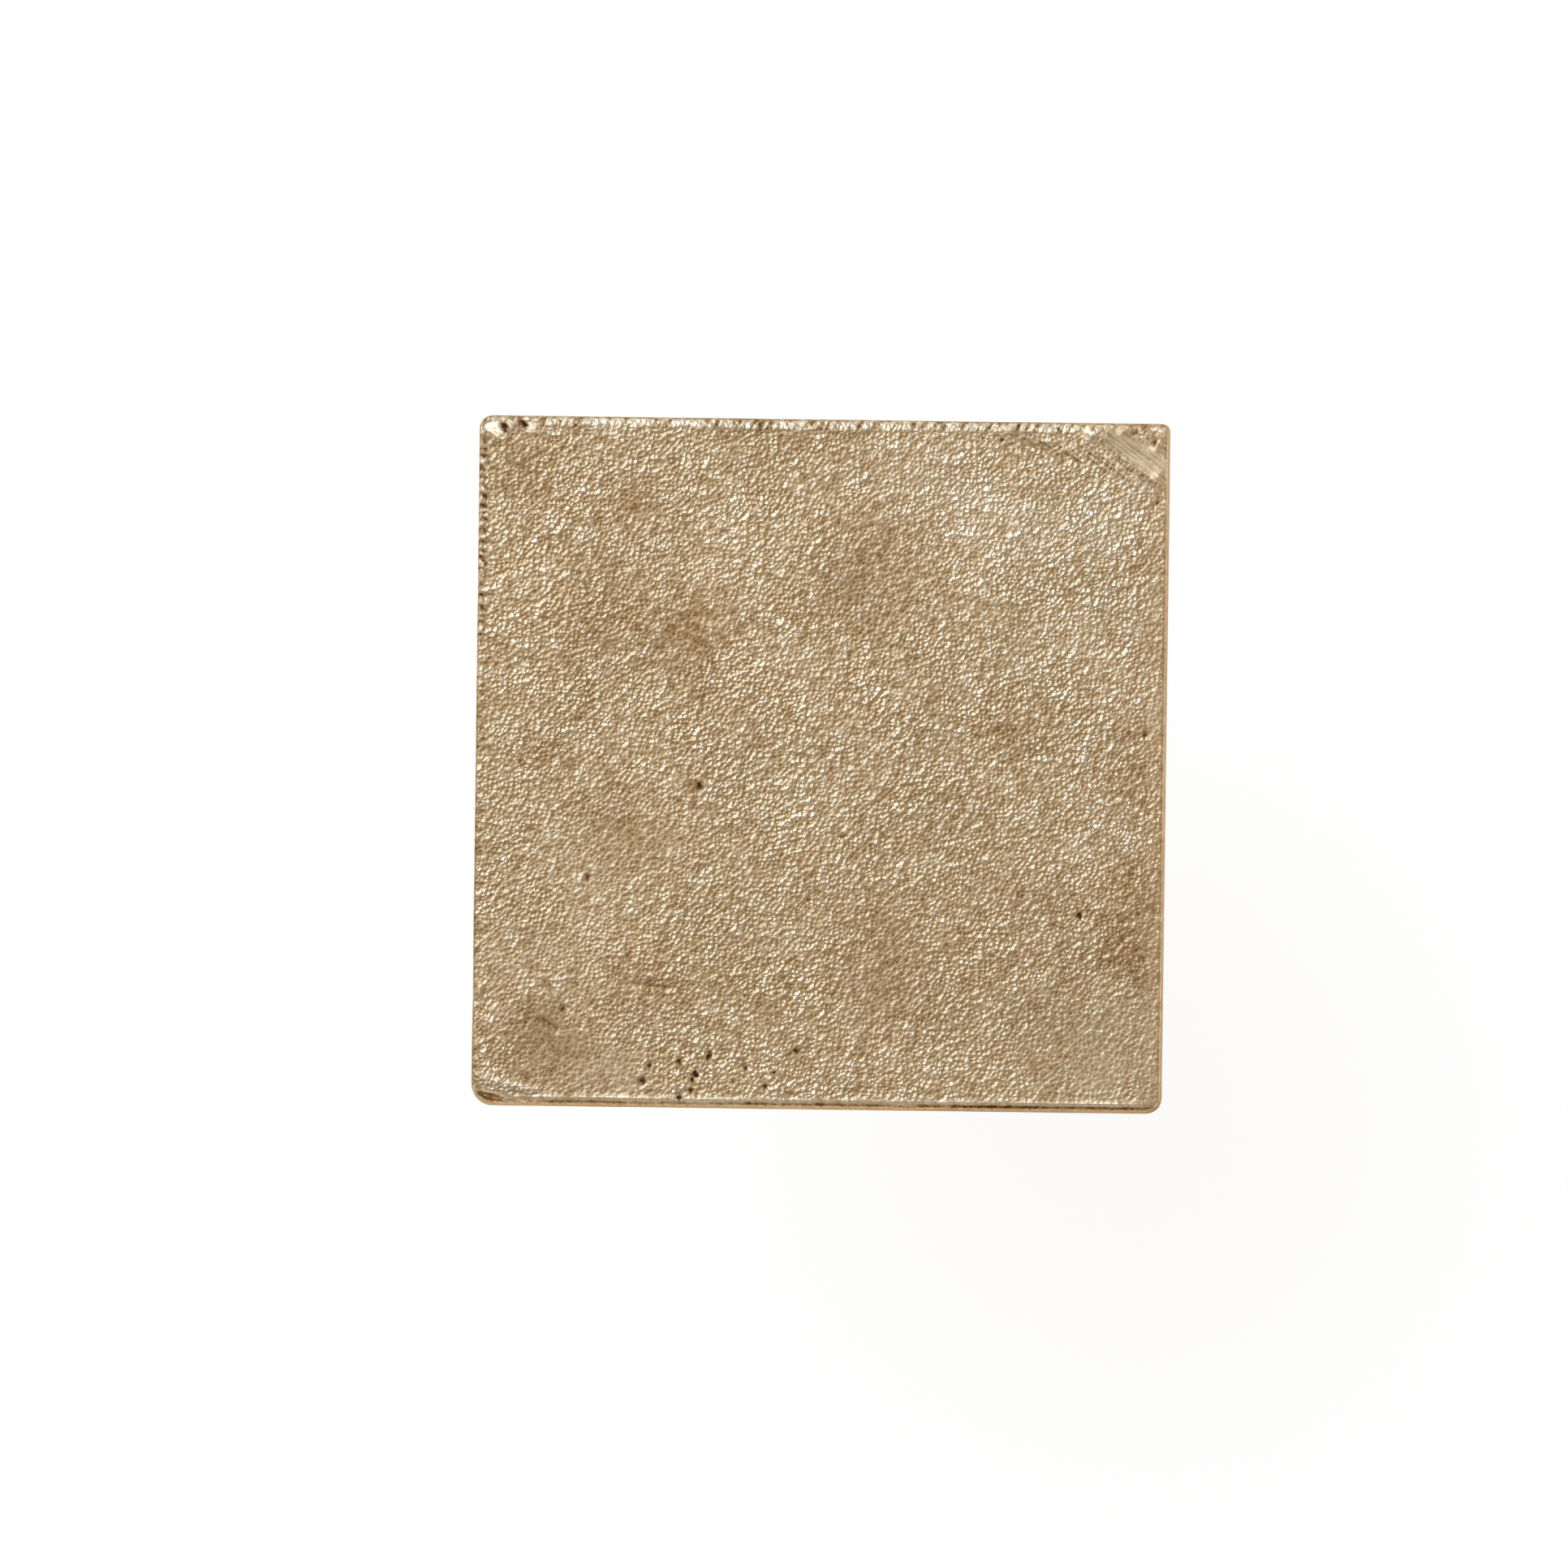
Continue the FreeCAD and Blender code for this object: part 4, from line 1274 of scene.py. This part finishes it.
def make_world():
    """A studio that is white at the horizon and grey overhead."""
    world = bpy.data.worlds.new("studio")
    world.use_nodes = True
    tree = world.node_tree
    coords = tree.nodes.new("ShaderNodeTexCoord")
    split = tree.nodes.new("ShaderNodeSeparateXYZ")
    height = tree.nodes.new("ShaderNodeValToRGB")
    for element, (where, colour) in zip(height.color_ramp.elements, (HORIZON, OVERHEAD)):
        element.position = where
        element.color = colour
    tree.links.new(coords.outputs["Generated"], split.inputs[0])
    tree.links.new(split.outputs["Z"], height.inputs["Fac"])
    tree.links.new(height.outputs["Color"], tree.nodes["Background"].inputs["Color"])
    bpy.context.scene.world = world


def make_key_light():
    """A soft box high to the upper left."""
    light = bpy.data.lights.new("key_softbox", "AREA")
    light.shape = "SQUARE"
    light.size = KEY_SIZE
    light.energy = KEY_POWER
    light.color = KEY_COLOUR
    lamp = new_object("key_softbox", light)
    side = Vector((math.cos(KEY_TURN), math.sin(KEY_TURN), 0)) * math.sin(KEY_TILT)
    towards = side + Vector((0, 0, math.cos(KEY_TILT)))
    lamp.location = Vector((0, 0, HEAD_TOP)) + towards * KEY_DISTANCE
    lamp.rotation_mode = "QUATERNION"
    lamp.rotation_quaternion = (-towards).to_track_quat("-Z", "Y")
    lamp.visible_camera = False


def make_camera():
    """Looks straight down on the knob's face, turned a little."""
    camera = bpy.data.cameras.new("camera")
    camera.sensor_width = 36.0
    camera.lens = camera.sensor_width * CAMERA_DISTANCE / FACE_WIDTH_IN_VIEW
    camera.clip_start, camera.clip_end = 0.01, 10.0
    eye = new_object("camera", camera)
    offset = Vector((*VIEW_OFFSET, 0))
    offset.rotate(Euler((0, 0, CAMERA_TURN)))
    eye.location = Vector((0, 0, HEAD_TOP + CAMERA_DISTANCE)) - offset
    eye.rotation_euler = (0, 0, CAMERA_TURN)
    bpy.context.scene.camera = eye


def set_colours():
    """Plain colours with no film curve."""
    settings = bpy.context.scene.view_settings
    settings.view_transform = "Standard"
    settings.look = "None"
    settings.exposure = 0.0
    settings.gamma = 1.0


make_camera()
make_world()
make_floor()
make_key_light()
set_colours()
make_head(cast_brass())
make_stem(ringed_metal("turned_brass"))
make_pin(ringed_metal("pin_steel"))
make_ring(ring_rubber())
plated = ringed_metal("zinc_steel")
make_flat_washer(plated)
make_spring_washer(ringed_metal("spring_steel"))
make_screw(plated)
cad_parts["joining_stud"].material_slots[0].material = ringed_metal("black_oxide")
